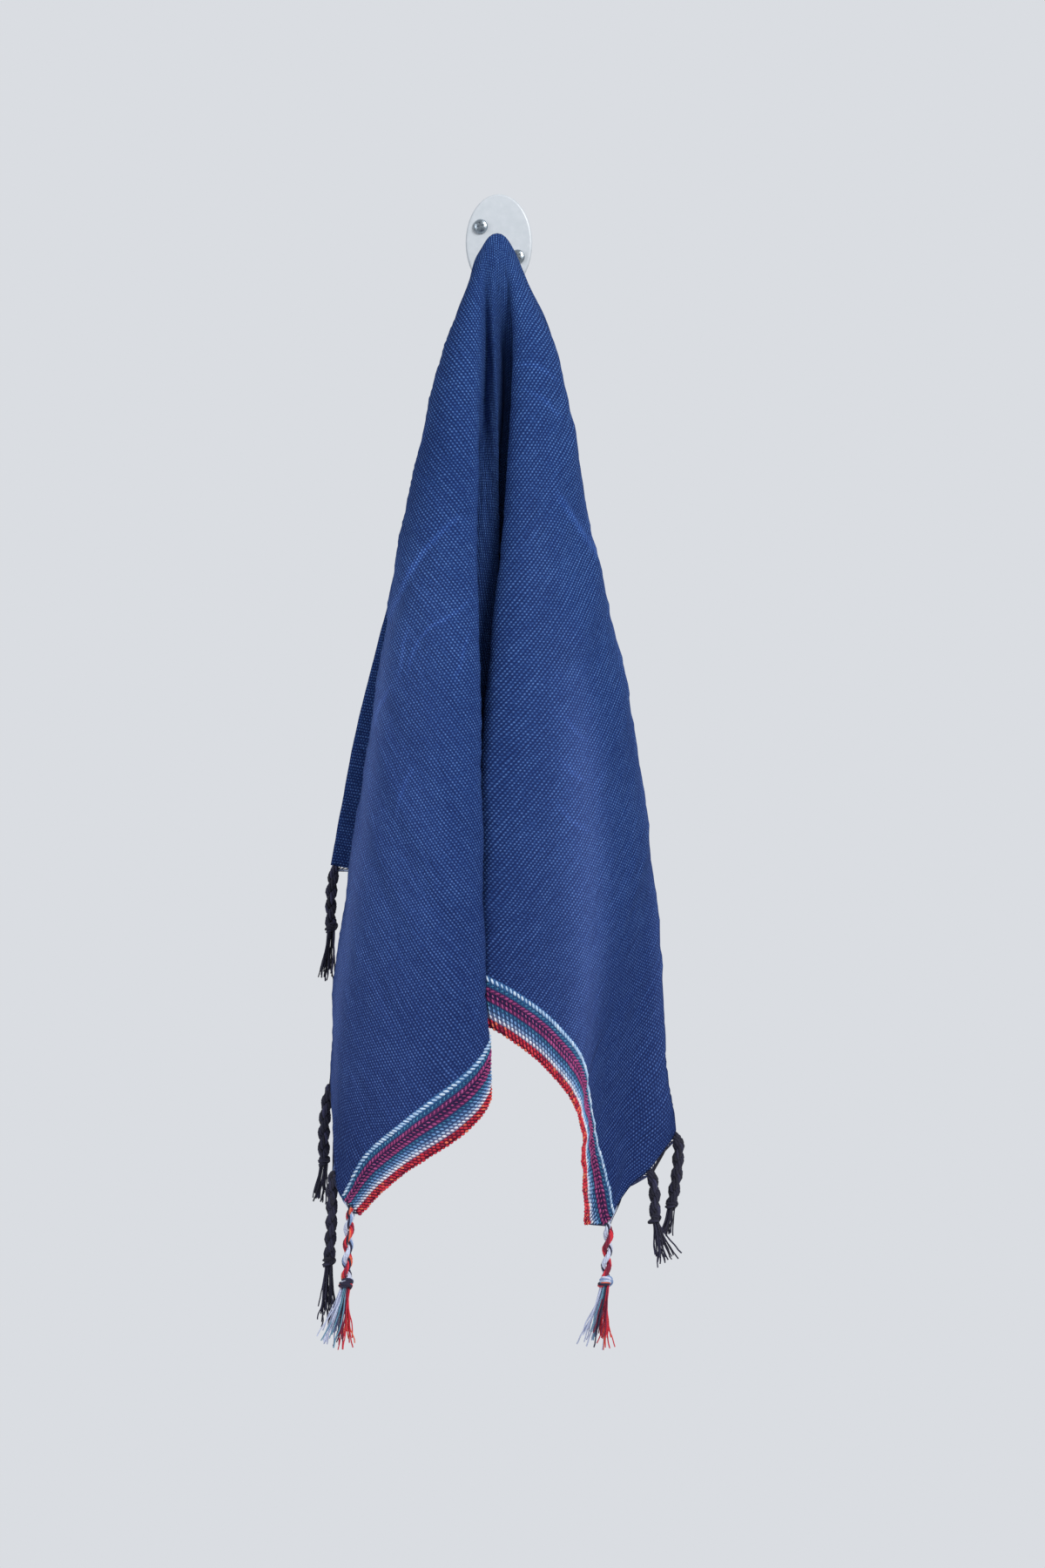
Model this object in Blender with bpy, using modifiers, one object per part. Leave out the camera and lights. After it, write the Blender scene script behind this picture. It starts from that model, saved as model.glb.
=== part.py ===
# A cotton hand towel with twisted tassels, hung by one point from a small wall hook.
# Metres, +Z up. The origin is the centre of the hook plate's back face. The wall is the
# plane y = 0, and the room is on the -Y side.
#
# The towel is worked out on its flat cloth. Each ray that runs from the point over the
# hook's tip to the cloth's edge hangs down, and the tables say where each fold goes.

import math

import bmesh
import bpy
import numpy as np
from mathutils import Matrix, Vector

mm = 0.001

# The hook: an oval plate, and an arm that dips and rises to a round tip
plate_width = 37 * mm
plate_height = 54 * mm
plate_thickness = 3.5 * mm
plate_edge_round = 1.2 * mm
arm_radius = 3.5 * mm
arm_route = (
    # out from the wall, height
    (-2.0, -18.5),
    (-9.0, -21.0),
    (-15.5, -25.5),
    (-22.0, -29.5),
    (-28.5, -30.0),
    (-34.0, -26.5),
    (-38.0, -20.5),
    (-40.0, -13.5),
)
tip_height = -7.9 * mm
tip_round = (0.5, 0.8, 0.95, 1.0)

# The two screws, with pan heads
screw_places = {"screw_upper": (-10.2 * mm, 8.6 * mm), "screw_lower": (10.4 * mm, -8.2 * mm)}
screw_turns = {"screw_upper": 18.0, "screw_lower": 40.0}
head_radius = 4.0 * mm
head_height = 2.5 * mm
shank_radius = 1.9 * mm
screw_hole_radius = 2.3 * mm
recess_length = 4.4 * mm
recess_width = 0.9 * mm
recess_depth = 1.3 * mm
fit_gap = 0.3 * mm

# The flat cloth, measured in millimetres from the point over the hook's tip
half_length = 350.0
front_drop = 350.0
back_drop = 20.0
cloth_thickness = 1.2
seat_gap = 0.4

# How it hangs: the cloth gives a little along its bias, and its rays are slightly bowed
bias_stretch = 0.08
ray_bow = 4.3
bow_length = 70.0
stretch_from = 20.0
stretch_over = 100.0
fold_softness = 3.0
cap_side = -0.6 * mm
cap_depth = -40.0 * mm

far_corner = 90 + math.degrees(math.atan2(back_drop, half_length))
near_corner = math.degrees(math.atan2(half_length, front_drop))

# Half widths and depths of the hanging cloth, at distances along it from the tip
levels = np.array([
    # along, left, right, front, back
    (0, 0, 0, 0, 0),
    (3, 2.75, 2.75, 2.75, 2.75),
    (6, 5.0, 5.0, 5.0, 5.0),
    (12, 8.2, 8.2, 8.0, 8.0),
    (20, 12.2, 11.8, 10.5, 12.0),
    (36, 18.3, 19.0, 14.0, 18.0),
    (66, 29.0, 31.0, 19.0, 23.0),
    (110, 40.8, 42.0, 24.0, 28.0),
    (170, 54.0, 53.4, 29.0, 31.0),
    (205, 60.0, 62.6, 31.5, 31.5),
    (250, 67.0, 72.6, 34.0, 32.0),
    (300, 75.0, 80.2, 36.0, 32.0),
    (350, 82.6, 86.3, 37.0, 32.0),
    (400, 88.4, 90.8, 37.0, 32.0),
    (460, 90.8, 94.8, 37.0, 32.0),
    (520, 94.0, 97.0, 37.0, 32.0),
])

# Where each fold lies: its ray's angle on the flat cloth, and at three stations its
# place as a share of the half width (side) and of the front or back depth (fore)
station_along = (18.0, 75.0, 300.0, 480.0)
folds = (
    # name, angle, upper side, upper fore, middle side, middle fore, low side, low fore
    ("left_strip_end", -150, -0.55, -1.05, -0.80, -1.15, -0.80, -1.15),
    ("left_strip", -115, -0.98, -0.90, -2.00, -1.10, -2.00, -1.10),
    ("left_far_edge", -far_corner, -0.64, -0.74, -1.07, -0.98, -1.22, -0.98),
    ("left_back_in", -83, -0.30, -0.52, -0.22, -0.76, -0.22, -0.76),
    ("left_back_out", -73.5, -0.74, -0.32, -0.92, -0.54, -0.92, -0.54),
    ("left_tuck", -64, -0.38, -0.14, -0.26, -0.32, -0.26, -0.32),
    ("left_edge", -54, -1.00, 0.02, -1.00, -0.06, -1.00, -0.20),
    ("left_shoulder", -48.5, -0.90, 0.55, -0.86, 0.60, -0.96, 0.30),
    ("left_crown", -42, -0.58, 0.96, -0.48, 1.00, -0.56, 0.90),
    ("left_lip", -36, -0.30, 0.92, -0.10, 0.78, -0.02, 0.76),
    ("pleat_left", -26, -0.20, 0.20, -0.72, 0.36, -0.72, 0.36),
    ("pleat_ridge", -11, -0.02, 0.60, 0.04, 0.15, 0.04, 0.15),
    ("pleat_back", 3, 0.10, 0.08, -0.60, 0.02, -0.60, 0.02),
    ("pleat_right", 20.5, 0.34, 0.12, 0.66, 0.02, 0.66, 0.02),
    ("right_turn", 29.5, 0.24, 0.70, -0.15, 0.54, -0.16, 0.54),
    ("right_inner", 32, 0.30, 0.88, 0.07, 0.84, 0.06, 0.82),
    ("right_rise", 35, 0.44, 0.93, 0.33, 0.92, 0.29, 0.94),
    ("right_ridge", 38.5, 0.60, 0.95, 0.58, 1.00, 0.44, 1.06),
    ("right_slope", 44, 0.84, 0.60, 0.83, 0.68, 0.51, 0.62),
    ("right_turn_out", 47, 0.95, 0.30, 0.94, 0.34, 0.66, 0.20),
    ("right_edge", 50.5, 1.00, 0.02, 1.00, -0.06, 1.00, -0.24),
    ("right_tuck", 61, 0.40, -0.14, 0.58, -0.32, 0.58, -0.32),
    ("right_back_out", 72, 0.74, -0.34, 0.92, -0.56, 0.92, -0.56),
    ("right_back_in", 83, 0.30, -0.54, 0.24, -0.78, 0.24, -0.78),
    ("right_far_edge", far_corner, 0.80, -0.78, 0.84, -0.99, 0.84, -0.99),
    ("right_strip", 115, 1.02, -0.92, 2.00, -1.10, 2.00, -1.10),
    ("right_strip_end", 150, 0.60, -1.05, 0.80, -1.15, 0.80, -1.15),
)
fold_angles = np.array([row[1] for row in folds], float)
fold_shares = np.array([row[2:] for row in folds], float).reshape(len(folds), 3, 2)

# Where the fringe's weight draws the edge away from where it would hang, on the flat cloth
pulls = np.array([
    # across, down, radius, how far to the side, how far down
    (-350, 322, 18, 0, 12),
    (-285, 335, 42, 0, 7),
    (225, 350, 45, 0, -3),
    (-350, -20, 70, 0, 9),
    (350, 328, 24, 0, 9),
    (350, 336, 9, 1, 5),
    (350, 281, 40, 0, 22),
    (350, 300, 17, -10, 0),
    (350, 300, 10, 1, 4),
    (350, 268, 16, 6, 0),
    (334, 322, 18, 3.4, 0),
    (352, 356, 16, -5.4, 0),
    (305, 355, 20, -1.5, 0),
])

# The grid of the cloth's solid: rings along the rays, and columns between the folds
rings = (3, 6, 10, 15, 21, 29, 39, 52, 68, 88, 114, 148, 192, 250, 320, 400)
column_marks = (0.16, 0.5, 0.84)
strip_columns = (96, 101, 108, 120, 138, 159)

# The tassels: each stands at a place along a fringed end, measured on the flat cloth
rope_round = (3.9 * mm, 2.7 * mm)
twist_pitch = 17.0 * mm
rope_steps_per_turn = 6
root_radius = 0.9 * mm
root_length = 6.0 * mm
root_gap = 0.35 * mm
root_bend = 3.0 * mm
knot_radius = 4.7 * mm
knot_height = 8.0 * mm
knot_base = 3.0 * mm
sides = 6
strand_inset = 0.35 * mm
strand_taper = 0.75
tassels = (
    # name, place, rope, tail, lean to the side, lean to the room, splay
    ("tassel_left_1", 343, 41.0, 31.0, -0.05, 0.02, 0.50),
    ("tassel_left_2", 314, 50.0, 32.0, -0.03, -0.02, 0.25),
    ("tassel_left_3", 268, 43.0, 20.0, -0.08, 0.00, 0.25),
    ("tassel_left_4", 228, 42.0, 22.0, 0.02, 0.00, 0.25),
    ("tassel_left_5", 186, 38.0, 22.0, -0.02, 0.00, 0.25),
    ("tassel_left_6", 140, 40.0, 22.0, 0.00, -0.10, 0.25),
    ("tassel_left_7", 80, 42.0, 24.0, -0.02, -0.13, 0.25),
    ("tassel_left_8", 18, 38.0, 22.0, 0.04, -0.06, 0.25),
    ("tassel_left_9", -17, 34.0, 28.0, -0.06, 0.00, 0.20),
    ("tassel_right_1", 335, 33.0, 33.0, -0.07, 0.00, 0.40),
    ("tassel_right_2", 298, 27.0, 20.0, 0.05, 0.10, 0.60),
    ("tassel_right_3", 276, 40.0, 15.0, -0.10, -0.12, 0.22),
    ("tassel_right_4", 240, 38.0, 20.0, 0.00, -0.03, 0.25),
    ("tassel_right_5", 214, 38.0, 20.0, -0.08, 0.00, 0.25),
    ("tassel_right_6", 160, 40.0, 22.0, 0.00, -0.10, 0.25),
    ("tassel_right_7", 84, 38.0, 22.0, 0.00, -0.13, 0.25),
    ("tassel_right_8", 20, 40.0, 22.0, -0.04, -0.06, 0.25),
    ("tassel_right_9", -12, 36.0, 24.0, 0.02, 0.00, 0.25),
)
corner_tassels = ("tassel_left_1", "tassel_right_1")


def clear_scene():
    for item in list(bpy.data.objects):
        bpy.data.objects.remove(item, do_unlink=True)


def new_collection(name):
    group = bpy.data.collections.new(name)
    bpy.context.scene.collection.children.link(group)
    return group


def material(name, colour, roughness, metallic=0.0):
    result = bpy.data.materials.new(name)
    result.use_nodes = True
    shader = result.node_tree.nodes["Principled BSDF"]
    shader.inputs["Base Color"].default_value = (*colour, 1)
    shader.inputs["Roughness"].default_value = roughness
    shader.inputs["Metallic"].default_value = metallic
    return result


def add_object(name, mesh, group, surface=None):
    item = bpy.data.objects.new(name, mesh)
    group.objects.link(item)
    if surface:
        mesh.materials.append(surface)
    return item


def mesh_from(bm, name):
    mesh = bpy.data.meshes.new(name)
    bm.to_mesh(mesh)
    bm.free()
    return mesh


def smooth(item, angle=40):
    item.data.shade_smooth()
    item.data.set_sharp_from_angle(angle=math.radians(angle))


def hide_cutter(item):
    item.hide_render = True
    item.display_type = "WIRE"


def curve_through(knots, values, at):
    """Monotone cubic through the values at the knots, read at the places in at."""
    gaps = np.diff(knots)
    shape = (-1,) + (1,) * (values.ndim - 1)
    rise = np.diff(values, axis=0) / gaps.reshape(shape)
    slope = np.zeros_like(values)
    slope[0] = rise[0]
    slope[-1] = rise[-1]
    near = (2 * gaps[1:] + gaps[:-1]).reshape(shape)
    far = (gaps[1:] + 2 * gaps[:-1]).reshape(shape)
    same_way = rise[1:] * rise[:-1] > 0
    before = np.where(same_way, rise[:-1], 1.0)
    after = np.where(same_way, rise[1:], 1.0)
    slope[1:-1] = np.where(same_way, (near + far) / (near / before + far / after), 0.0)
    k = np.clip(np.searchsorted(knots, at) - 1, 0, len(gaps) - 1)
    gap = gaps[k].reshape(shape)
    t = ((at - knots[k]) / gaps[k]).reshape(shape)
    start = (1 + 2 * t) * (1 - t) ** 2 * values[k] + t * (1 - t) ** 2 * gap * slope[k]
    end = t * t * (3 - 2 * t) * values[k + 1] + t * t * (t - 1) * gap * slope[k + 1]
    return start + end


def edge_distance(angle):
    """From the tip to the flat cloth's edge along the ray at this angle."""
    turn = np.radians(np.asarray(angle, float))
    across = np.maximum(np.abs(np.sin(turn)), 1e-9)
    down = np.cos(turn)
    to_end = half_length / across
    to_front = front_drop / np.maximum(down, 1e-9)
    to_back = back_drop / np.maximum(-down, 1e-9)
    return np.minimum(to_end, np.minimum(to_front, to_back))


def fold_places(along):
    """Side and fore of every fold at one distance along the cloth."""
    turn = np.radians(fold_angles)
    round_cap = np.stack([np.sin(turn), np.cos(turn)], -1)
    stations = np.concatenate([round_cap[None], fold_shares.transpose(1, 0, 2)])
    at = np.clip([along], station_along[0], station_along[-1])
    return curve_through(np.array(station_along), stations, at)[0]


def cloth_section(angles, along):
    """Side and fore of the rays at one distance along the cloth, softened at the folds."""
    seam = np.array([[0.0, -1.0]])
    knots = np.concatenate([[-180.0], fold_angles, [180.0]])
    values = np.concatenate([seam, fold_places(along), seam])
    total = 0
    for step, weight in ((-1, 0.15), (-0.5, 0.2), (0, 0.3), (0.5, 0.2), (1, 0.15)):
        at = np.clip(angles + step * fold_softness, -180.0, 180.0)
        total = total + weight * curve_through(knots, values, at)
    return total


def hang(angles, along):
    """Points of the cloth's middle surface for rays at one distance along the cloth."""
    angles = np.asarray(angles, float)
    share = cloth_section(angles, along)
    left, right, front, back = curve_through(levels[:, 0], levels[:, 1:], np.array([along]))[0]
    side = np.where(share[:, 0] < 0, left, right) * share[:, 0]
    fore = np.where(share[:, 1] > 0, front, back) * share[:, 1]
    grown = np.clip((along - stretch_from) / stretch_over, 0, 1)
    stretch = 1 + bias_stretch * grown * np.sin(2 * np.radians(angles)) ** 2
    reach = along * stretch - ray_bow * along / (along + bow_length)
    drop = np.sqrt(np.maximum(reach ** 2 - side ** 2 - fore ** 2, 0))
    across = along * np.sin(np.radians(angles))
    down = along * np.cos(np.radians(angles))
    for pull_across, pull_down, radius, sideways, downwards in pulls:
        gap = np.hypot(across - pull_across, down - pull_down)
        near = np.exp(-(gap / radius) ** 2)
        side = side + sideways * near
        drop = drop + downwards * near
    points = np.stack([side, -fore, -drop], -1) * mm
    return points + np.array(cap_place())


def cap_place():
    """The cloth's middle surface over the top of the hook's tip."""
    top = tip_height + arm_radius
    return (cap_side, cap_depth, top + (seat_gap + cloth_thickness / 2) * mm)


def column_angles():
    columns = []
    for start, end in zip(fold_angles[:-1], fold_angles[1:]):
        if start >= -far_corner and end <= far_corner:
            columns += [start + (end - start) * mark for mark in column_marks]
    columns += [far_corner, -far_corner, near_corner, -near_corner]
    for angle in strip_columns:
        columns += [angle, -angle]
    columns.append(180.0)
    return np.array(sorted(columns))


def ring_distances(angles):
    """Rings keep their own distance near the tip and meet the cloth's edge at its rim."""
    edges = edge_distance(angles)
    longest = float(edge_distance(near_corner))
    rows = []
    for ring in (*rings, longest):
        rows.append(1 / (1 / ring + 1 / edges - 1 / longest))
    return rows


def make_towel(group, surface):
    angles = column_angles()
    bm = bmesh.new()
    tip = bm.verts.new(cap_place())
    previous = None
    for distances in ring_distances(angles):
        row = []
        for angle, along in zip(angles, distances):
            row.append(bm.verts.new(hang([angle], along)[0]))
        for k in range(len(row)):
            after = (k + 1) % len(row)
            if previous is None:
                bm.faces.new((tip, row[k], row[after]))
            else:
                bm.faces.new((previous[k], row[k], row[after], previous[after]))
        previous = row
    bmesh.ops.recalc_face_normals(bm, faces=bm.faces)
    item = add_object("towel", mesh_from(bm, "towel"), group, surface)
    shell = item.modifiers.new("thickness", "SOLIDIFY")
    shell.thickness = cloth_thickness * mm
    shell.offset = 0
    item.data.shade_smooth()
    return item


def fringed_edge(end, place):
    """A point on a fringed end of the towel's mesh, and the way straight out from it."""
    angles = [a for a in column_angles() if a * end > 0 and near_corner <= abs(a) <= far_corner]
    angles.sort(key=abs, reverse=True)
    before_last = ring_distances(np.array(angles))[-2]
    places = [half_length / math.tan(math.radians(abs(a))) for a in angles]
    k = int(np.clip(np.searchsorted(places, place), 1, len(places) - 1))
    share = (place - places[k - 1]) / (places[k] - places[k - 1])
    rim = [Vector(hang([a], edge_distance(a))[0]) for a in angles[k - 1:k + 1]]
    inside = [Vector(hang([a], r)[0]) for a, r in zip(angles[k - 1:k + 1], before_last[k - 1:k + 1])]
    edge = rim[0].lerp(rim[1], share)
    along = (rim[1] - rim[0]).normalized()
    out = edge - inside[0].lerp(inside[1], share)
    return edge, (out - along * out.dot(along)).normalized()


def tassel_place(edge, out, lean, at):
    """Where the tassel's centre is this far from its root, and the way it heads there."""
    swing = 1 - math.exp(-at / root_bend)
    down = Vector((lean[0], -lean[1], -1))
    centre = edge + out * (root_gap + root_bend * swing) + down * (at - root_bend * swing)
    return centre, (out * (1 - swing) + down * swing).normalized()


def tassel_rings(rope):
    """Distance from the root, the two radii and the twist of each ring of a tassel."""
    step = twist_pitch / rope_steps_per_turn
    start = rope - knot_height / 2
    count = max(3, round(start / step))
    rows = []
    for k in range(count + 1):
        at = start * k / count
        grow = min(1.0, at / root_length)
        wide = root_radius + (rope_round[0] - root_radius) * grow
        narrow = root_radius + (rope_round[1] - root_radius) * grow
        rows.append((at, wide, narrow, 2 * math.pi * at / twist_pitch))
    turn = rows[-1][3]
    rows.append((rope - knot_height * 0.22, knot_radius, knot_radius, turn))
    rows.append((rope + knot_height * 0.25, knot_radius, knot_radius * 0.9, turn))
    rows.append((rope + knot_height / 2, knot_base, knot_base, turn))
    return rows


def make_tassel(row, group, surface):
    name, place, rope, tail, lean_side, lean_room, splay = row
    end = -1 if "left" in name else 1
    rope *= mm
    tail *= mm
    edge, out = fringed_edge(end, place)
    lean = (lean_side, lean_room)
    bm = bmesh.new()
    previous = None
    for at, wide, narrow, turn in tassel_rings(rope):
        centre, heading = tassel_place(edge, out, lean, at)
        tilt = Vector((0, 0, -1)).rotation_difference(heading).to_matrix()
        ring = []
        for k in range(sides):
            angle = 2 * math.pi * k / sides
            spot = Vector((wide * math.cos(angle), narrow * math.sin(angle), 0))
            ring.append(bm.verts.new(centre + tilt @ Matrix.Rotation(turn, 3, "Z") @ spot))
        if previous is None:
            bm.faces.new(ring)
        else:
            for k in range(sides):
                after = (k + 1) % sides
                bm.faces.new((previous[k], ring[k], ring[after], previous[after]))
        previous = ring
    hub = bm.verts.new(centre)
    roots = [bm.faces.new((ring[k], ring[(k + 1) % sides], hub)) for k in range(sides)]
    bmesh.ops.recalc_face_normals(bm, faces=bm.faces)
    bmesh.ops.inset_individual(bm, faces=roots, thickness=strand_inset, use_even_offset=True)
    grow_strands(bm, roots, centre, tail, splay, lean)
    bmesh.ops.recalc_face_normals(bm, faces=bm.faces)
    item = add_object(name, mesh_from(bm, name), group, surface)
    smooth(item, 60)
    return item


def grow_strands(bm, roots, centre, tail, splay, lean):
    """Draw each root face out into a loose three-sided strand, in two lengths."""
    ends = roots
    for share in (0.45, 0.55):
        ends = bmesh.ops.extrude_discrete_faces(bm, faces=ends)["faces"]
        for number, face in enumerate(ends):
            middle = face.calc_center_median()
            away = Vector((middle.x - centre.x, middle.y - centre.y, 0)).normalized()
            uneven = 1 + 0.3 * math.sin(2.4 * number + 100 * tail)
            move = away * splay * uneven * 0.5 + Vector((lean[0], -lean[1], -uneven ** 0.3))
            for vert in face.verts:
                vert.co = middle + (vert.co - middle) * strand_taper + move * tail * share


def make_arm_mesh():
    """The arm as a bent rod, whose last points draw in to a round tip."""
    points = [(out * mm, height * mm) for out, height in arm_route]
    route = [(out, height, 1.0) for out, height in points]
    route.append((cap_depth, tip_height, 1.0))
    for share in tip_round:
        radius = math.sqrt(max(1 - share ** 2, 0.02))
        route.append((cap_depth, tip_height + share * arm_radius, radius))
    curve = bpy.data.curves.new("arm_route", "CURVE")
    curve.dimensions = "3D"
    curve.bevel_depth = arm_radius
    curve.bevel_resolution = 3
    curve.use_fill_caps = True
    spline = curve.splines.new("POLY")
    spline.points.add(len(route) - 1)
    for spot, (out, height, radius) in zip(spline.points, route):
        spot.co = (0, out, height, 1)
        spot.radius = radius
    carrier = bpy.data.objects.new("arm_route", curve)
    bpy.context.scene.collection.objects.link(carrier)
    bpy.context.view_layer.update()
    graph = bpy.context.evaluated_depsgraph_get()
    mesh = bpy.data.meshes.new_from_object(carrier.evaluated_get(graph))
    bpy.data.objects.remove(carrier, do_unlink=True)
    bm = bmesh.new()
    bm.from_mesh(mesh)
    bmesh.ops.remove_doubles(bm, verts=bm.verts, dist=0.00001)
    bmesh.ops.recalc_face_normals(bm, faces=bm.faces)
    bm.to_mesh(mesh)
    bm.free()
    return mesh


def make_hook(group, cutters, surface):
    bm = bmesh.new()
    bmesh.ops.create_cone(bm, cap_ends=True, segments=40, radius1=0.5, radius2=0.5, depth=1)
    bmesh.ops.scale(bm, vec=(plate_width, plate_height, plate_thickness), verts=bm.verts)
    turn = Matrix.Rotation(math.pi / 2, 3, "X")
    bmesh.ops.rotate(bm, matrix=turn, verts=bm.verts)
    bmesh.ops.translate(bm, vec=(0, -plate_thickness / 2, 0), verts=bm.verts)
    front = [edge for edge in bm.edges if all(v.co.y < -plate_thickness / 2 for v in edge.verts)]
    bmesh.ops.bevel(bm, geom=front, offset=plate_edge_round, segments=3, affect="EDGES", profile=0.5)
    item = add_object("hook", mesh_from(bm, "hook"), group, surface)
    arm = add_object("arm", make_arm_mesh(), cutters)
    hide_cutter(arm)
    join = item.modifiers.new("arm", "BOOLEAN")
    join.operation = "UNION"
    join.object = arm
    for name, (across, up) in screw_places.items():
        bm = bmesh.new()
        bmesh.ops.create_cone(bm, cap_ends=True, segments=16, radius1=screw_hole_radius,
                              radius2=screw_hole_radius, depth=4 * plate_thickness)
        bmesh.ops.rotate(bm, matrix=turn, verts=bm.verts)
        hole = add_object(name + "_hole", mesh_from(bm, name + "_hole"), cutters)
        hole.location = (across, -plate_thickness / 2, up)
        hide_cutter(hole)
        cut = item.modifiers.new(name + "_hole", "BOOLEAN")
        cut.operation = "DIFFERENCE"
        cut.object = hole
    smooth(item, 35)
    return item


def make_screw(name, group, cutters, surface):
    across, up = screw_places[name]
    seat = plate_thickness + fit_gap
    profile = (
        # radius, distance out from the wall
        (0.0, seat + head_height),
        (head_radius * 0.5, seat + head_height * 0.96),
        (head_radius * 0.82, seat + head_height * 0.76),
        (head_radius, seat + head_height * 0.34),
        (head_radius, seat),
        (shank_radius, seat),
        (shank_radius, fit_gap),
        (0.0, fit_gap),
    )
    bm = bmesh.new()
    verts = [bm.verts.new((radius, 0, out)) for radius, out in profile]
    for first, second in zip(verts[:-1], verts[1:]):
        bm.edges.new((first, second))
    item = add_object(name, mesh_from(bm, name), group, surface)
    item.rotation_euler = (math.pi / 2, 0, 0)
    item.location = (across, 0, up)
    turned = item.modifiers.new("turned", "SCREW")
    turned.angle = 2 * math.pi
    turned.steps = 16
    turned.render_steps = 16
    turned.use_merge_vertices = True
    turned.merge_threshold = 0.00001
    for number in range(2):
        bm = bmesh.new()
        bmesh.ops.create_cube(bm, size=1)
        depth = 2 * recess_depth
        bmesh.ops.scale(bm, vec=(recess_length, recess_width, depth), verts=bm.verts)
        bmesh.ops.translate(bm, vec=(0, 0, seat + head_height), verts=bm.verts)
        label = f"{name}_recess_{number + 1}"
        blade = add_object(label, mesh_from(bm, label), cutters)
        angle = math.radians(screw_turns[name] + 90 * number)
        blade.matrix_world = (Matrix.Translation((across, 0, up)) @ Matrix.Rotation(math.pi / 2, 4, "X")
                              @ Matrix.Rotation(angle, 4, "Z"))
        hide_cutter(blade)
        cut = item.modifiers.new(label, "BOOLEAN")
        cut.operation = "DIFFERENCE"
        cut.object = blade
    return item


def main():
    clear_scene()
    group = new_collection("hand_towel_on_hook")
    cutters = new_collection("cutters")
    cloth = material("navy_cotton", (0.030, 0.065, 0.210), 0.9)
    yarn = material("dark_yarn", (0.010, 0.012, 0.032), 0.9)
    corner_yarn = material("corner_yarn", (0.45, 0.06, 0.10), 0.85)
    paint = material("white_paint", (0.75, 0.78, 0.80), 0.35)
    zinc = material("zinc", (0.60, 0.66, 0.70), 0.3, 1.0)
    make_towel(group, cloth)
    for row in tassels:
        make_tassel(row, group, corner_yarn if row[0] in corner_tassels else yarn)
    make_hook(group, cutters, paint)
    for name in screw_places:
        make_screw(name, group, cutters, zinc)
    bpy.context.view_layer.update()


main()
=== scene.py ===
import math

import bmesh
import bpy
import numpy as np
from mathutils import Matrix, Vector, noise


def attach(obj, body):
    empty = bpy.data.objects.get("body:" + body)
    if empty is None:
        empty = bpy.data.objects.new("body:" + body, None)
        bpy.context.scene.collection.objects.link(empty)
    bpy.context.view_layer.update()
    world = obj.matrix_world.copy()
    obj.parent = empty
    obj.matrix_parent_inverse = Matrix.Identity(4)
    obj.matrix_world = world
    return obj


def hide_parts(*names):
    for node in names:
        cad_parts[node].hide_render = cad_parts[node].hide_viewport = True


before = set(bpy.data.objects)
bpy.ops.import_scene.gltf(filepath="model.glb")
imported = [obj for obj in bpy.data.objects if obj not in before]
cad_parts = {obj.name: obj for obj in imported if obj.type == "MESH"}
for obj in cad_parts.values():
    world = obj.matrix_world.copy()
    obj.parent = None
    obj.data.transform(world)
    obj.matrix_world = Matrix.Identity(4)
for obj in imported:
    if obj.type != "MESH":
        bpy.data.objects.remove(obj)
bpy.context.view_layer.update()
print("frame loaded, with", len(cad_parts), "nodes")

mm = 0.001


def colourOf(red, green, blue):
    # a display colour, 0 to 255, as the linear colour that a socket takes
    parts = []
    for part in (red / 255, green / 255, blue / 255):
        parts.append(part / 12.92 if part <= 0.04045 else ((part + 0.055) / 1.055) ** 2.4)
    return (*parts, 1.0)


# camera, light and floor
stageValues = {
    "cameraPlace": (0.0131, -1.455, -0.3009),
    "lens": 60.0,
    "sensorHeight": 36.0,
    "clipStart": 0.01,
    "lampAim": (0.0, -0.04, -0.30),
    "skyColour": (218, 221, 226),
    "skyStrength": 0.55,
    "floorHeight": -1.08,
    "floorRadius": 0.85,
    "floorCorners": 96,
    "floorRoughness": 0.9,
    "floorColours": ((0.3, (222, 224, 228)), (0.7, (226, 228, 232))),
    "floorGrain": (6.0, 2.0),
}
lightRows = (
    # name, place, size, power, colour
    ("keyLight", (1.10, -1.45, 0.85), 0.8, 33.0, (1.0, 0.985, 0.97)),
    ("fillLight", (-1.50, -1.15, 0.10), 1.2, 9.0, (0.95, 0.97, 1.0)),
)


def addObject(name, data):
    item = bpy.data.objects.new(name, data)
    bpy.context.scene.collection.objects.link(item)
    return item


def addCamera():
    lens = bpy.data.cameras.new("photoCamera")
    lens.lens = stageValues["lens"]
    lens.sensor_fit = "VERTICAL"
    lens.sensor_height = stageValues["sensorHeight"]
    lens.clip_start = stageValues["clipStart"]
    camera = addObject("photoCamera", lens)
    camera.location = stageValues["cameraPlace"]
    camera.rotation_euler = (math.radians(90), 0, 0)
    bpy.context.scene.camera = camera


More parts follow.
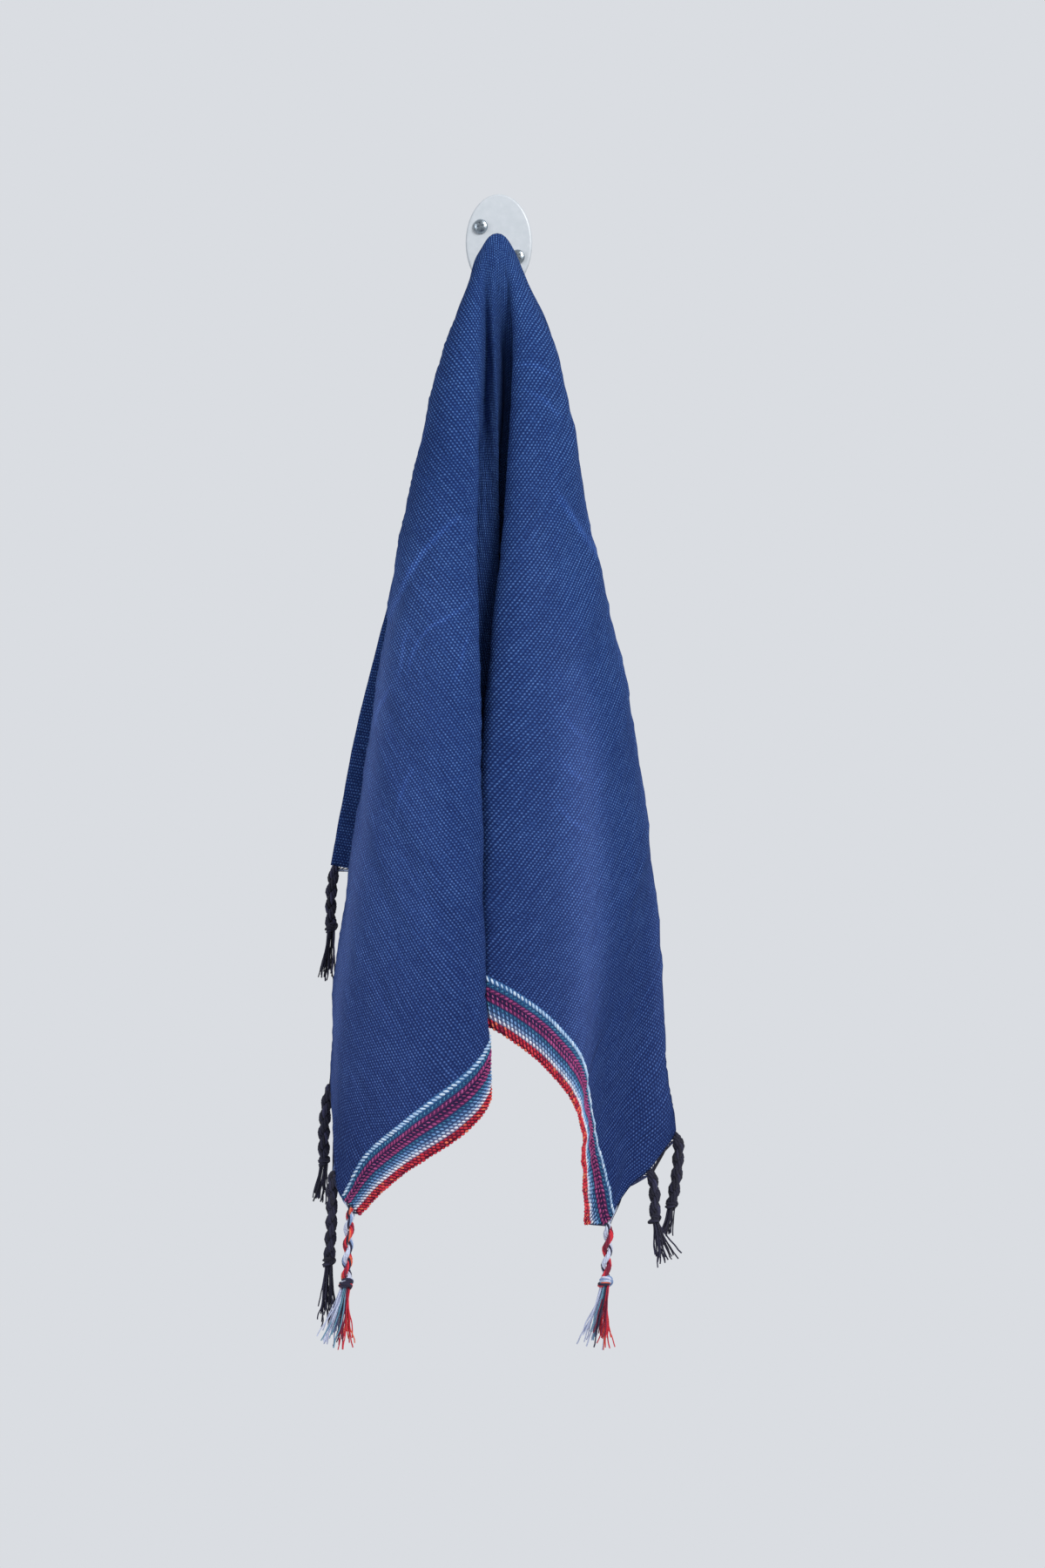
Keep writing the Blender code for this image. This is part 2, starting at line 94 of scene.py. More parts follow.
def addLights():
    for name, place, size, power, colour in lightRows:
        lamp = bpy.data.lights.new(name, "AREA")
        lamp.shape = "DISK"
        lamp.size = size
        lamp.energy = power
        lamp.color = colour
        item = addObject(name, lamp)
        item.location = place
        aim = Vector(stageValues["lampAim"]) - Vector(place)
        item.rotation_euler = aim.to_track_quat("-Z", "Y").to_euler()
    # the room's light is softer than the pale wall colour that shows
    world = bpy.data.worlds.new("studio")
    world.use_nodes = True
    tree = world.node_tree
    sky = colourOf(*stageValues["skyColour"])
    shown = tree.nodes["Background"]
    shown.inputs["Color"].default_value = sky
    soft = addNode(tree, "ShaderNodeBackground", {"Color": sky, "Strength": stageValues["skyStrength"]})
    path = addNode(tree, "ShaderNodeLightPath")
    mixed = addNode(tree, "ShaderNodeMixShader", {
        0: path.outputs["Is Camera Ray"], 1: soft.outputs["Background"], 2: shown.outputs["Background"]})
    tree.links.new(mixed.outputs["Shader"], tree.nodes["World Output"].inputs["Surface"])
    bpy.context.scene.world = world
    bpy.context.scene.view_settings.view_transform = "Standard"


def addFloor():
    bm = bmesh.new()
    bmesh.ops.create_circle(bm, cap_ends=True, segments=stageValues["floorCorners"],
                            radius=stageValues["floorRadius"])
    mesh = bpy.data.meshes.new("studioFloor")
    bm.to_mesh(mesh)
    bm.free()
    mesh.materials.append(grainedMaterial("paleFloor", stageValues["floorRoughness"],
                                          stageValues["floorColours"], *stageValues["floorGrain"]))
    floor = addObject("studioFloor", mesh)
    floor.location = (0, 0, stageValues["floorHeight"])


# helpers for nodes
def addNode(tree, kind, inputs=None, **settings):
    node = tree.nodes.new(kind)
    for name, value in settings.items():
        setattr(node, name, value)
    for name, value in (inputs or {}).items():
        socket = node.inputs[name]
        if isinstance(value, bpy.types.NodeSocket):
            tree.links.new(value, socket)
        else:
            socket.default_value = value
    return node


def mathOf(tree, operation, *values):
    node = addNode(tree, "ShaderNodeMath", dict(enumerate(values)), operation=operation)
    return node.outputs[0]


def sumOf(tree, *values):
    total = values[0]
    for value in values[1:]:
        total = mathOf(tree, "ADD", total, value)
    return total


def productOf(tree, *values):
    total = values[0]
    for value in values[1:]:
        total = mathOf(tree, "MULTIPLY", total, value)
    return total


def differenceOf(tree, first, second):
    return mathOf(tree, "SUBTRACT", first, second)


def quotientOf(tree, first, second):
    return mathOf(tree, "DIVIDE", first, second)


def bellOf(tree, value, width):
    # 1 where the value is nothing, falling away to both sides
    off = quotientOf(tree, value, width)
    return mathOf(tree, "EXPONENT", productOf(tree, off, off, -1.0))


def vectorOf(tree, operation, *values):
    node = addNode(tree, "ShaderNodeVectorMath", dict(enumerate(values)), operation=operation)
    return node.outputs[0]


def scaledVector(tree, vector, amount):
    node = addNode(tree, "ShaderNodeVectorMath", {"Vector": vector, "Scale": amount}, operation="SCALE")
    return node.outputs[0]


def rampOf(tree, value, rows, interpolation="LINEAR"):
    # rows of place and display colour
    node = addNode(tree, "ShaderNodeValToRGB", {"Fac": value})
    ramp = node.color_ramp
    ramp.interpolation = interpolation
    while len(ramp.elements) < len(rows):
        ramp.elements.new(0.5)
    for element, (place, colour) in zip(ramp.elements, rows):
        element.position = place
    for element, (place, colour) in zip(ramp.elements, rows):
        element.color = colourOf(*colour)
    return node.outputs["Color"]


def blendOf(tree, kind, factor, first, second):
    # a Mix node's sockets for colours or for numbers
    begin, result = {"RGBA": (6, 2), "FLOAT": (2, 0)}[kind]
    node = addNode(tree, "ShaderNodeMix", {0: factor, begin: first, begin + 1: second}, data_type=kind)
    return node.outputs[result]


def rangeOf(tree, value, low, high):
    node = addNode(tree, "ShaderNodeMapRange", {"Value": value, "From Min": low, "From Max": high})
    return node.outputs["Result"]


def bumpOf(tree, height, depth, strength, below=None):
    node = addNode(tree, "ShaderNodeBump", {"Height": height, "Distance": depth, "Strength": strength})
    if below is not None:
        tree.links.new(below, node.inputs["Normal"])
    return node.outputs["Normal"]


def grainOf(tree, scale, detail):
    place = addNode(tree, "ShaderNodeTexCoord")
    grain = addNode(tree, "ShaderNodeTexNoise", {"Vector": place.outputs["Object"], "Scale": scale,
                                                 "Detail": detail})
    return grain.outputs["Fac"]


def newMaterial(name, roughness, metallic=0.0, sheen=0.0):
    material = bpy.data.materials.new(name)
    material.use_nodes = True
    shader = material.node_tree.nodes["Principled BSDF"]
    shader.inputs["Roughness"].default_value = roughness
    shader.inputs["Metallic"].default_value = metallic
    shader.inputs["Sheen Weight"].default_value = sheen
    return material, material.node_tree, shader


def grainedMaterial(name, roughness, colours, scale, detail, depth=0.0, strength=0.0, metallic=0.0):
    # a plain finish with a fine grain, which also stands in relief where it has a depth
    material, tree, shader = newMaterial(name, roughness, metallic)
    grain = grainOf(tree, scale, detail)
    tree.links.new(rampOf(tree, grain, colours), shader.inputs["Base Color"])
    if depth:
        tree.links.new(bumpOf(tree, grain, depth, strength), shader.inputs["Normal"])
    return material


# the cloth's weave and its striped selvedge, in millimetres of flat cloth
clothLength = 700.0
clothWidth = 370.0
weaveValues = {
    "ribPitch": 1.5,
    "threadPitch": 0.73,
    "wander": 1.1,
    "middle": 0.5,
    "roughness": 0.9,
    "specular": 0.15,
    # painted warm bounce light and shade: the tint runs over this many mm along the cloth
    "bounceTintLength": 500.0,
    "bumpDepth": 0.32 * mm,
    "bumpStrength": 0.8,
    "crinkleLean": 0.22,
    "crinkleSharpness": 1.6,
    "crinkleDepth": 0.9 * mm,
    "crinkleStrength": 0.5,
    "creaseTaper": 0.6,
    "creaseDepth": 0.4 * mm,
    # painted highlight: how much paler the crowns of the thin creases are drawn
    "creaseHighlight": 0.60,
    # painted highlights on the folds' crowns and painted shade in the pleat
    "foldLightOnset": 40.0,
    "foldLightEnding": (30.0, 50.0),
    "foldLightPaler": 0.75,
    "foldLightGreyer": 0.22,
    "foldHighlightColour": (110, 122, 168),
    "crinkleNoise": (3.2, 42.0, 3.0, 6.0),
    "noises": {
        # name: width and length of its streaks, detail, place in the noise
        "acrossDrift": (14, 30, 2.0, 0.0),
        "downDrift": (30, 14, 2.0, 5.0),
        "slubs": (1.1, 16, 2.0, 0.0),
        "crossSlubs": (14, 0.9, 2.0, 2.0),
        "specks": (0.9, 1.3, 1.0, 7.0),
        "patches": (60, 60, 3.0, 3.0),
        "wobble": (9, 30, 2.0, 4.0),
    },
    "shares": {
        # how much each layer adds to the height of the weave
        "crossing": 0.26,
        "ridge": 0.22,
        "slubs": 0.22,
        "specks": 0.30,
        "crossSlubs": 0.10,
        "patches": 0.10,
    },
    "stripes": {
        "span": 24.0,
        "wobble": 0.35,
        "lean": 0.75,
        "floatPitch": 1.15,
        "stepPitch": 1.3,
        "floatShare": 0.30,
        "stepShare": 0.12,
        "speckShare": 0.25,
        "middle": 0.55,
        "contrast": 0.80,
        "darkest": 0.50,
    },
}
weaveColours = (
    # height of the weave, colour
    (0.0, (22, 42, 94)),
    (0.30, (24, 44, 96)),
    (0.55, (36, 64, 122)),
    (0.80, (54, 88, 148)),
    (1.0, (100, 138, 196)),
)
# painted highlights along the folds' crowns, and painted shade in the pleat between the lobes (the row that
# darkens)
foldHighlightsAndPleatShade = (
    # angle from the front in radians, half width, from and to along the cloth in mm, how much paler
    (0.680, 0.045, 235.0, 450.0, 0.42),
    (0.625, 0.070, 120.0, 470.0, 0.12),
    (-0.895, 0.045, 200.0, 470.0, 0.60),
    (0.02, 0.30, 60.0, 330.0, -0.70),
    (-0.830, 0.120, 170.0, 480.0, 0.22),
    (0.875, 0.028, 70.0, 440.0, 0.30),
)
# painted warm bounce light and shade: the cloth is tinted darker and pinker towards the corners
bounceTintColours = (
    # share of the way from the hook's tip to the corners, tint
    (0.0, (248, 255, 255)),
    (0.55, (246, 246, 250)),
    (1.0, (228, 214, 226)),
)
stripeRows = (
    # from the selvedge inwards, mm, and the colour of what starts there
    (0.0, (120, 26, 56)),
    (3.7, (120, 124, 156)),
    (5.6, (88, 112, 152)),
    (7.3, (52, 84, 128)),
    (9.6, (40, 78, 122)),
    (11.2, (86, 40, 88)),
    (13.3, (52, 34, 76)),
    (15.6, (90, 42, 92)),
    (17.7, (40, 84, 128)),
    (19.9, (64, 116, 168)),
    (22.6, (32, 62, 122)),
)


def stretchedNoise(tree, across, down, width, length, detail, place):
    # a noise drawn out into streaks, whose sizes are in millimetres
    spot = addNode(tree, "ShaderNodeCombineXYZ", {
        "X": quotientOf(tree, across, width), "Y": quotientOf(tree, down, length), "Z": place})
    streaks = addNode(tree, "ShaderNodeTexNoise", {"Vector": spot.outputs["Vector"], "Scale": 1.0,
                                                   "Detail": detail})
    return mathOf(tree, "MULTIPLY_ADD", streaks.outputs["Fac"], 2.0, -1.0)


def gridPlaces(tree, layer):
    # the two distances of a UV map, in millimetres
    grid = addNode(tree, "ShaderNodeUVMap", uv_map=layer)
    places = addNode(tree, "ShaderNodeSeparateXYZ", {"Vector": grid.outputs["UV"]})
    return [productOf(tree, places.outputs[axis], clothLength) for axis in "XY"]


def weaveHeight(tree, across, down, streaks):
    # the yarns wander a little, cross over and under, and are thicker and paler in places
    turns = []
    for place, drift, pitch in ((across, "acrossDrift", "ribPitch"), (down, "downDrift", "threadPitch")):
        wander = productOf(tree, streaks[drift], weaveValues["wander"])
        turns.append(productOf(tree, sumOf(tree, place, wander), math.pi / weaveValues[pitch]))
    rib, thread = turns
    layers = dict(streaks)
    layers["crossing"] = productOf(tree, mathOf(tree, "COSINE", rib), mathOf(tree, "COSINE", thread))
    layers["ridge"] = mathOf(tree, "COSINE", productOf(tree, rib, 2.0))
    return sumOf(tree, weaveValues["middle"], *[
        productOf(tree, layers[name], share) for name, share in weaveValues["shares"].items()])


def stripeHeight(tree, across, fromHem, specks):
    # slanted floats in rows, one row beside the next
    stripe = weaveValues["stripes"]
    lean = productOf(tree, fromHem, stripe["lean"])
    floats = mathOf(tree, "COSINE", productOf(
        tree, sumOf(tree, across, lean), 2 * math.pi / stripe["floatPitch"]))
    steps = mathOf(tree, "COSINE", productOf(tree, fromHem, 2 * math.pi / stripe["stepPitch"]))
    return sumOf(tree, productOf(tree, floats, stripe["floatShare"]),
                 productOf(tree, steps, stripe["stepShare"]),
                 productOf(tree, specks, stripe["speckShare"]), stripe["middle"])


def paintedFoldLight(tree, sideways, along):
    # painted highlights: the folds' crowns are drawn paler and greyer; painted shade: the pleat is drawn
    # darker
    ray = quotientOf(tree, sideways, mathOf(tree, "MAXIMUM", along, 1.0))
    onset = weaveValues["foldLightOnset"]
    past, before = weaveValues["foldLightEnding"]
    foldLight = 0.0
    for angle, width, begin, finish, paler in foldHighlightsAndPleatShade:
        nearFold = bellOf(tree, differenceOf(tree, ray, angle), width)
        begun = rangeOf(tree, along, begin - onset, begin + onset)
        ended = rangeOf(tree, along, finish + past, finish - before)
        foldLight = sumOf(tree, foldLight, productOf(tree, nearFold, begun, ended, paler))
    return foldLight


def creaseRidges(tree):
    # fine creases that the photograph shows, each a thin ridge along its own line
    ridges = 0.0
    for name, strength, width, *ignored in thinCreaseRows:
        line = addNode(tree, "ShaderNodeAttribute", attribute_name=name)
        parts = addNode(tree, "ShaderNodeSeparateXYZ", {"Vector": line.outputs["Vector"]})
        bell = bellOf(tree, parts.outputs["X"], width)
        taper = mathOf(tree, "POWER", parts.outputs["Y"], weaveValues["creaseTaper"])
        ridges = sumOf(tree, ridges, productOf(tree, bell, taper, strength))
    return ridges


def makeClothMaterial():
    values = weaveValues
    material, tree, shader = newMaterial("stripedCotton", values["roughness"])
    shader.inputs["Specular IOR Level"].default_value = values["specular"]
    across, down = gridPlaces(tree, "clothGrid")
    sideways, along = gridPlaces(tree, "hangGrid")
    fromHem = differenceOf(tree, clothWidth, down)
    streaks = {name: stretchedNoise(tree, across, down, *row) for name, row in values["noises"].items()}

    height = weaveHeight(tree, across, down, streaks)
    navy = rampOf(tree, height, weaveColours)
    floatHeight = stripeHeight(tree, across, fromHem, streaks["specks"])
    stripe = values["stripes"]
    wobble = productOf(tree, streaks["wobble"], stripe["wobble"])
    span = stripe["span"]
    stripePlace = quotientOf(tree, sumOf(tree, fromHem, wobble), span)
    stripes = rampOf(
        tree, stripePlace, [(place / span, colour) for place, colour in stripeRows], "CONSTANT")
    shaded = scaledVector(tree, stripes, mathOf(
        tree, "MULTIPLY_ADD", floatHeight, stripe["contrast"], stripe["darkest"]))
    inStripes = mathOf(tree, "LESS_THAN", stripePlace, stripeRows[-1][0] / span)
    woven = blendOf(tree, "RGBA", inStripes, navy, shaded)
    # painted warm bounce light and shade: darker and pinker towards the corners
    bounceTint = rampOf(tree, quotientOf(tree, along, values["bounceTintLength"]), bounceTintColours)
    tinted = vectorOf(tree, "MULTIPLY", woven, bounceTint)

    # painted highlights on the folds' crowns and painted shade in the pleat, drawn into the colour
    foldLight = paintedFoldLight(tree, sideways, along)
    ridges = creaseRidges(tree)
    greyed = blendOf(tree, "RGBA", productOf(tree, foldLight, values["foldLightGreyer"]), tinted,
                     colourOf(*values["foldHighlightColour"]))
    # painted highlights on the thin creases' crowns, as well as their bumps below
    paler = sumOf(tree, mathOf(tree, "MULTIPLY_ADD", foldLight, values["foldLightPaler"], 1.0),
                  productOf(tree, ridges, values["creaseHighlight"]))
    tree.links.new(scaledVector(tree, greyed, paler), shader.inputs["Base Color"])

    # crinkles run down the cloth, leaning a little
    leaning = sumOf(tree, sideways, productOf(tree, along, values["crinkleLean"]))
    crinkles = stretchedNoise(tree, leaning, along, *values["crinkleNoise"])
    sharp = differenceOf(
        tree, 1.0, mathOf(tree, "ABSOLUTE", productOf(tree, crinkles, values["crinkleSharpness"])))
    relief = blendOf(tree, "FLOAT", inStripes, height, floatHeight)
    folded = bumpOf(tree, ridges, values["creaseDepth"], 1.0)
    crinkled = bumpOf(tree, sharp, values["crinkleDepth"], values["crinkleStrength"], folded)
    normal = bumpOf(tree, relief, values["bumpDepth"], values["bumpStrength"], crinkled)
    tree.links.new(normal, shader.inputs["Normal"])
    return material


# how the flat cloth hangs from the hook's tip, in millimetres
drapeValues = {
    "halfLength": 350.0,
    "frontDrop": 350.0,
    "backDrop": 20.0,
    "biasStretch": 0.08,
    "rayBow": 4.3,
    "bowLength": 70.0,
    "stretchFrom": 20.0,
    "stretchOver": 100.0,
    "foldRound": 5.0,
    "roundDegrees": (0.5, 2.6),
    "capPlace": (-0.6, -40.0, -3.4),
}
farCorner = 90 + math.degrees(math.atan2(drapeValues["backDrop"], drapeValues["halfLength"]))
clothLevels = np.array([
    # along, half width left, right, depth in front, behind
    (0, 0, 0, 0, 0),
    (3, 2.75, 2.75, 2.75, 2.75),
    (6, 5.0, 5.0, 5.0, 5.0),
    (12, 8.2, 8.2, 8.0, 8.0),
    (20, 12.2, 11.8, 10.5, 12.0),
    (36, 18.3, 19.0, 14.0, 18.0),
    (66, 29.0, 31.0, 19.0, 23.0),
    (110, 40.8, 42.0, 24.0, 28.0),
    (170, 54.0, 53.4, 29.0, 31.0),
    (205, 60.0, 62.6, 31.5, 31.5),
    (250, 67.0, 72.6, 34.0, 32.0),
    (300, 75.0, 80.2, 36.0, 32.0),
    (350, 82.6, 86.3, 37.0, 32.0),
    (400, 88.4, 90.8, 37.0, 32.0),
    (460, 90.8, 94.8, 37.0, 32.0),
    (520, 94.0, 97.0, 37.0, 32.0),
])
stationAlong = np.array([18.0, 75.0, 300.0, 480.0])
foldRows = (
    # name, angle on the flat cloth, then side and fore at three stations
    ("leftStripEnd", -150, -0.55, -1.05, -0.80, -1.15, -0.80, -1.15),
    ("leftStrip", -115, -0.98, -0.90, -2.00, -1.10, -2.00, -1.10),
    ("leftFarEdge", -farCorner, -0.64, -0.74, -1.07, -0.98, -1.22, -0.98),
    ("leftBackIn", -83, -0.30, -0.52, -0.22, -0.76, -0.22, -0.76),
    ("leftBackOut", -73.5, -0.74, -0.32, -0.92, -0.54, -0.92, -0.54),
    ("leftTuck", -64, -0.38, -0.14, -0.26, -0.32, -0.26, -0.32),
    ("leftEdge", -54, -1.00, 0.02, -1.00, -0.06, -1.00, -0.20),
    ("leftShoulder", -48.5, -0.90, 0.55, -0.86, 0.60, -0.96, 0.30),
    ("leftCrown", -42, -0.58, 0.96, -0.48, 1.00, -0.56, 0.90),
    ("leftLip", -36, -0.30, 0.92, -0.10, 0.78, -0.02, 0.76),
    ("pleatLeft", -26, -0.20, 0.20, -0.72, 0.36, -0.72, 0.36),
    ("pleatRidge", -11, -0.02, 0.60, 0.04, 0.15, 0.04, 0.15),
    ("pleatBack", 3, 0.10, 0.08, -0.60, 0.02, -0.60, 0.02),
    ("pleatRight", 20.5, 0.34, 0.12, 0.66, 0.02, 0.66, 0.02),
    ("rightTurn", 29.5, 0.24, 0.70, -0.15, 0.54, -0.16, 0.54),
    ("rightInner", 32, 0.30, 0.88, 0.07, 0.84, 0.06, 0.82),
    ("rightRise", 35, 0.44, 0.93, 0.33, 0.92, 0.29, 0.94),
    ("rightRidge", 38.5, 0.60, 0.95, 0.58, 1.00, 0.44, 1.06),
    ("rightSlope", 44, 0.84, 0.60, 0.83, 0.68, 0.51, 0.62),
    ("rightTurnOut", 47, 0.95, 0.30, 0.94, 0.34, 0.66, 0.20),
    ("rightEdge", 50.5, 1.00, 0.02, 1.00, -0.06, 1.00, -0.24),
    ("rightTuck", 61, 0.40, -0.14, 0.58, -0.32, 0.58, -0.32),
    ("rightBackOut", 72, 0.74, -0.34, 0.92, -0.56, 0.92, -0.56),
    ("rightBackIn", 83, 0.30, -0.54, 0.24, -0.78, 0.24, -0.78),
    ("rightFarEdge", farCorner, 0.80, -0.78, 0.84, -0.99, 0.84, -0.99),
    ("rightStrip", 115, 1.02, -0.92, 2.00, -1.10, 2.00, -1.10),
    ("rightStripEnd", 150, 0.60, -1.05, 0.80, -1.15, 0.80, -1.15),
)
pullRows = (
    # where the fringe's weight draws the edge: across, down, radius, how far to the side and down
    (-350, 322, 18, 0, 12),
    (-285, 335, 42, 0, 7),
    (225, 350, 45, 0, -3),
    (-350, -20, 70, 0, 9),
    (350, 328, 24, 0, 9),
    (350, 336, 9, 1, 5),
    (350, 281, 40, 0, 22),
    (350, 300, 17, -10, 0),
    (350, 300, 10, 1, 4),
    (350, 268, 16, 6, 0),
    (334, 322, 18, 3.4, 0),
    (352, 356, 16, -5.4, 0),
    (305, 355, 20, -1.5, 0),
)
roundSteps = ((-1, 0.15), (-0.5, 0.2), (0, 0.3), (0.5, 0.2), (1, 0.15))
foldAngles = np.array([row[1] for row in foldRows], float)
foldShares = np.array([row[2:] for row in foldRows], float).reshape(len(foldRows), -1, 2)


def curveThrough(knots, values, at):
    # a monotone cubic through values[knot, point] for each point's own place
    gaps = np.diff(knots)[:, None, None]
    rise = np.diff(values, axis=0) / gaps
    slope = np.zeros_like(values)
    slope[0] = rise[0]
    slope[-1] = rise[-1]
    near = 2 * gaps[1:] + gaps[:-1]
    far = gaps[1:] + 2 * gaps[:-1]
    sameWay = rise[1:] * rise[:-1] > 0
    before = np.where(sameWay, rise[:-1], 1.0)
    after = np.where(sameWay, rise[1:], 1.0)
    slope[1:-1] = np.where(sameWay, (near + far) / (near / before + far / after), 0.0)
    k = np.clip(np.searchsorted(knots, at) - 1, 0, len(knots) - 2)
    point = np.arange(len(at)) if values.shape[1] > 1 else np.zeros(len(at), int)
    gap = (knots[k + 1] - knots[k])[:, None]
    t = (at - knots[k])[:, None] / gap
    start = (1 + 2 * t) * (1 - t) ** 2 * values[k, point] + t * (1 - t) ** 2 * gap * slope[k, point]
    end = t * t * (3 - 2 * t) * values[k + 1, point] + t * t * (t - 1) * gap * slope[k + 1, point]
    return start + end


def hangPoints(across, down):
    # the hung places of points of the flat cloth, which are measured from the hook's tip
    across = np.asarray(across, float).ravel()
    down = np.asarray(down, float).ravel()
    angles = np.degrees(np.arctan2(across, down))
    along = np.hypot(across, down)
    turn = np.radians(foldAngles)
    roundCap = np.stack([np.sin(turn), np.cos(turn)], -1)
    stations = np.concatenate([roundCap[None], foldShares.transpose(1, 0, 2)])
    at = np.clip(along, stationAlong[0], stationAlong[-1])
    rows = curveThrough(stationAlong, stations.reshape(len(stationAlong), 1, -1), at)
    rows = rows.reshape(len(along), len(foldRows), 2).transpose(1, 0, 2)
    seam = np.tile(np.array([0.0, -1.0]), (1, len(along), 1))
    values = np.concatenate([seam, rows, seam])
    knots = np.concatenate([[-180.0], foldAngles, [180.0]])
    soft = np.degrees(drapeValues["foldRound"] / np.maximum(along, 1.0))
    soft = np.clip(soft, *drapeValues["roundDegrees"])
    share = 0
    for step, weight in roundSteps:
        share = share + weight * curveThrough(knots, values, np.clip(angles + step * soft, -180, 180))
    levels = curveThrough(clothLevels[:, 0], clothLevels[:, 1:][:, None, :], along)
    side = np.where(share[:, 0] < 0, levels[:, 0], levels[:, 1]) * share[:, 0]
    fore = np.where(share[:, 1] > 0, levels[:, 2], levels[:, 3]) * share[:, 1]
    grown = np.clip((along - drapeValues["stretchFrom"]) / drapeValues["stretchOver"], 0, 1)
    stretch = 1 + drapeValues["biasStretch"] * grown * np.sin(2 * np.radians(angles)) ** 2
    reach = along * stretch - drapeValues["rayBow"] * along / (along + drapeValues["bowLength"])
    drop = np.sqrt(np.maximum(reach ** 2 - side ** 2 - fore ** 2, 0))
    for pullAcross, pullDown, radius, sideways, downwards in pullRows:
        near = np.exp(-((across - pullAcross) ** 2 + (down - pullDown) ** 2) / radius ** 2)
        side = side + sideways * near
        drop = drop + downwards * near
    return np.stack([side, -fore, -drop], -1) + np.array(drapeValues["capPlace"])


# thin creases that the finish draws as bumps with painted highlights on their crowns: each keeps every
# point's gap to its line, with a side
thinCreaseRows = (
    # name, strength, half width, from angle, to angle, places as side and height in mm
    ("creaseLeftLong", 1.0, 1.53, -57, -34,
     ((-20, -158), (-26, -163), (-36, -173), (-42, -180), (-47, -188), (-51, -196), (-56, -204),
      (-60, -216))),
    ("creaseLeftArc", 0.8, 1.02, -57, -34,
     ((-15, -203), (-21, -209), (-28, -214), (-36, -218), (-43, -226), (-46, -233), (-48, -244))),
    ("creaseLeftInner", 0.7, 1.02, -57, -34, ((-47, -217), (-50, -226), (-51, -235), (-53, -245))),
    ("creaseLeftLow", 0.8, 1.19, -57, -34,
     ((-55, -246), (-59, -252), (-62, -257), (-65, -264), (-67, -272))),
    ("creaseLeftRight", 0.5, 1.02, -57, -34, ((-14, -218), (-18, -228), (-20, -238), (-24, -248))),
    ("creaseLeftTop", 0.5, 1.19, -57, -34, ((-34, -100), (-42, -118), (-48, -136))),
    ("creaseLeftDeep", 0.5, 1.19, -57, -34, ((-44, -292), (-48, -298), (-52, -310), (-53, -322))),
    ("creaseRightOne", 0.9, 2.21, 31, 53,
     ((30, -146), (36, -154), (42, -161), (47, -168), (52, -176), (56, -184))),
    ("creaseRightTwo", 0.5, 1.36, 31, 53, ((8, -77), (19, -77), (33, -85))),
    ("creaseRightThree", 0.5, 1.36, 31, 53, ((12, -89), (26, -97), (34, -106))),
    ("creaseRightFour", 0.45, 1.36, 31, 53, ((32, -262), (41, -273), (48, -279))),
    ("creaseRightFive", 0.45, 1.36, 31, 53, ((32, -287), (40, -296), (48, -300))),
    ("creaseRightSix", 0.45, 1.36, 31, 53, ((30, -310), (39, -321), (50, -327))),
)
creaseReach = 9.0


def nearestOnLine(points, line):
    # each point's gap to a line, its side of it, and the share of the way along it
    nearest = np.full(len(points), np.inf)
    side = np.zeros(len(points))
    along = np.zeros(len(points))
    for k, (start, end) in enumerate(zip(line[:-1], line[1:])):
        start = np.array(start, float)
        step = np.array(end, float) - start
        share = np.clip((points - start) @ step / (step @ step), 0, 1)
        gap = np.linalg.norm(points - start - share[:, None] * step, axis=1)
        turned = np.sign(step[0] * (points - start)[:, 1] - step[1] * (points - start)[:, 0])
        closer = gap < nearest
        side = np.where(closer, turned, side)
        along = np.where(closer, (k + share) / (len(line) - 1), along)
        nearest = np.minimum(nearest, gap)
    return nearest, side, along


# creases that the photograph shows: soft ridges and troughs along lines seen from the front
creaseRows = (
    # name, height, width, from angle, to angle, places as side and height in mm
    ("leftRidge", 1.0, 3.2, -56, -34,
     ((-15, -159), (-26, -160), (-34, -171), (-44, -187), (-51, -200), (-59, -214), (-62, -226))),
    ("leftTrough", -0.8, 3.5, -56, -34,
     ((-18, -170), (-30, -178), (-40, -194), (-48, -210), (-54, -226))),
    ("leftWrinkleOne", 0.6, 2.2, -56, -34, ((-30, -205), (-42, -226), (-52, -250))),
    ("leftWrinkleTwo", 0.5, 2.0, -56, -34, ((-24, -215), (-36, -238), (-45, -262))),
    ("rightCrease", -0.9, 3.0, 31, 52, ((31, -145), (44, -166), (56, -188), (61, -204))),
    ("rightCreaseRidge", 0.8, 3.0, 31, 52, ((36, -145), (48, -166), (58, -186))),
    ("rightFaintOne", 0.5, 1.8, 31, 52, ((8, -77), (19, -77), (33, -85))),
    ("rightFaintTwo", 0.4, 1.8, 31, 52, ((12, -89), (26, -99))),
    ("rightLongRidge", 2.2, 9.0, 31, 52,
     ((37, -240), (45, -300), (48, -331), (52, -393), (51, -440), (50, -470))),
)
rippleValues = {
    "fineHeight": 0.64,
    "fineWidth": 6.5,
    "fineLength": 70.0,
    "broadHeight": 1.6,
    "broadWidth": 22.0,
    "broadLength": 160.0,
    "crepeHeight": 0.44,
    "crepeSize": 4.2,
    "hemWave": 0.5,
    "hemWaveLength": 23.0,
    "hemReach": 8.0,
    "from": 25.0,
    "over": 80.0,
    "edgeDegrees": 2.0,
    "places": (3.1, 9.4, 5.2),
}


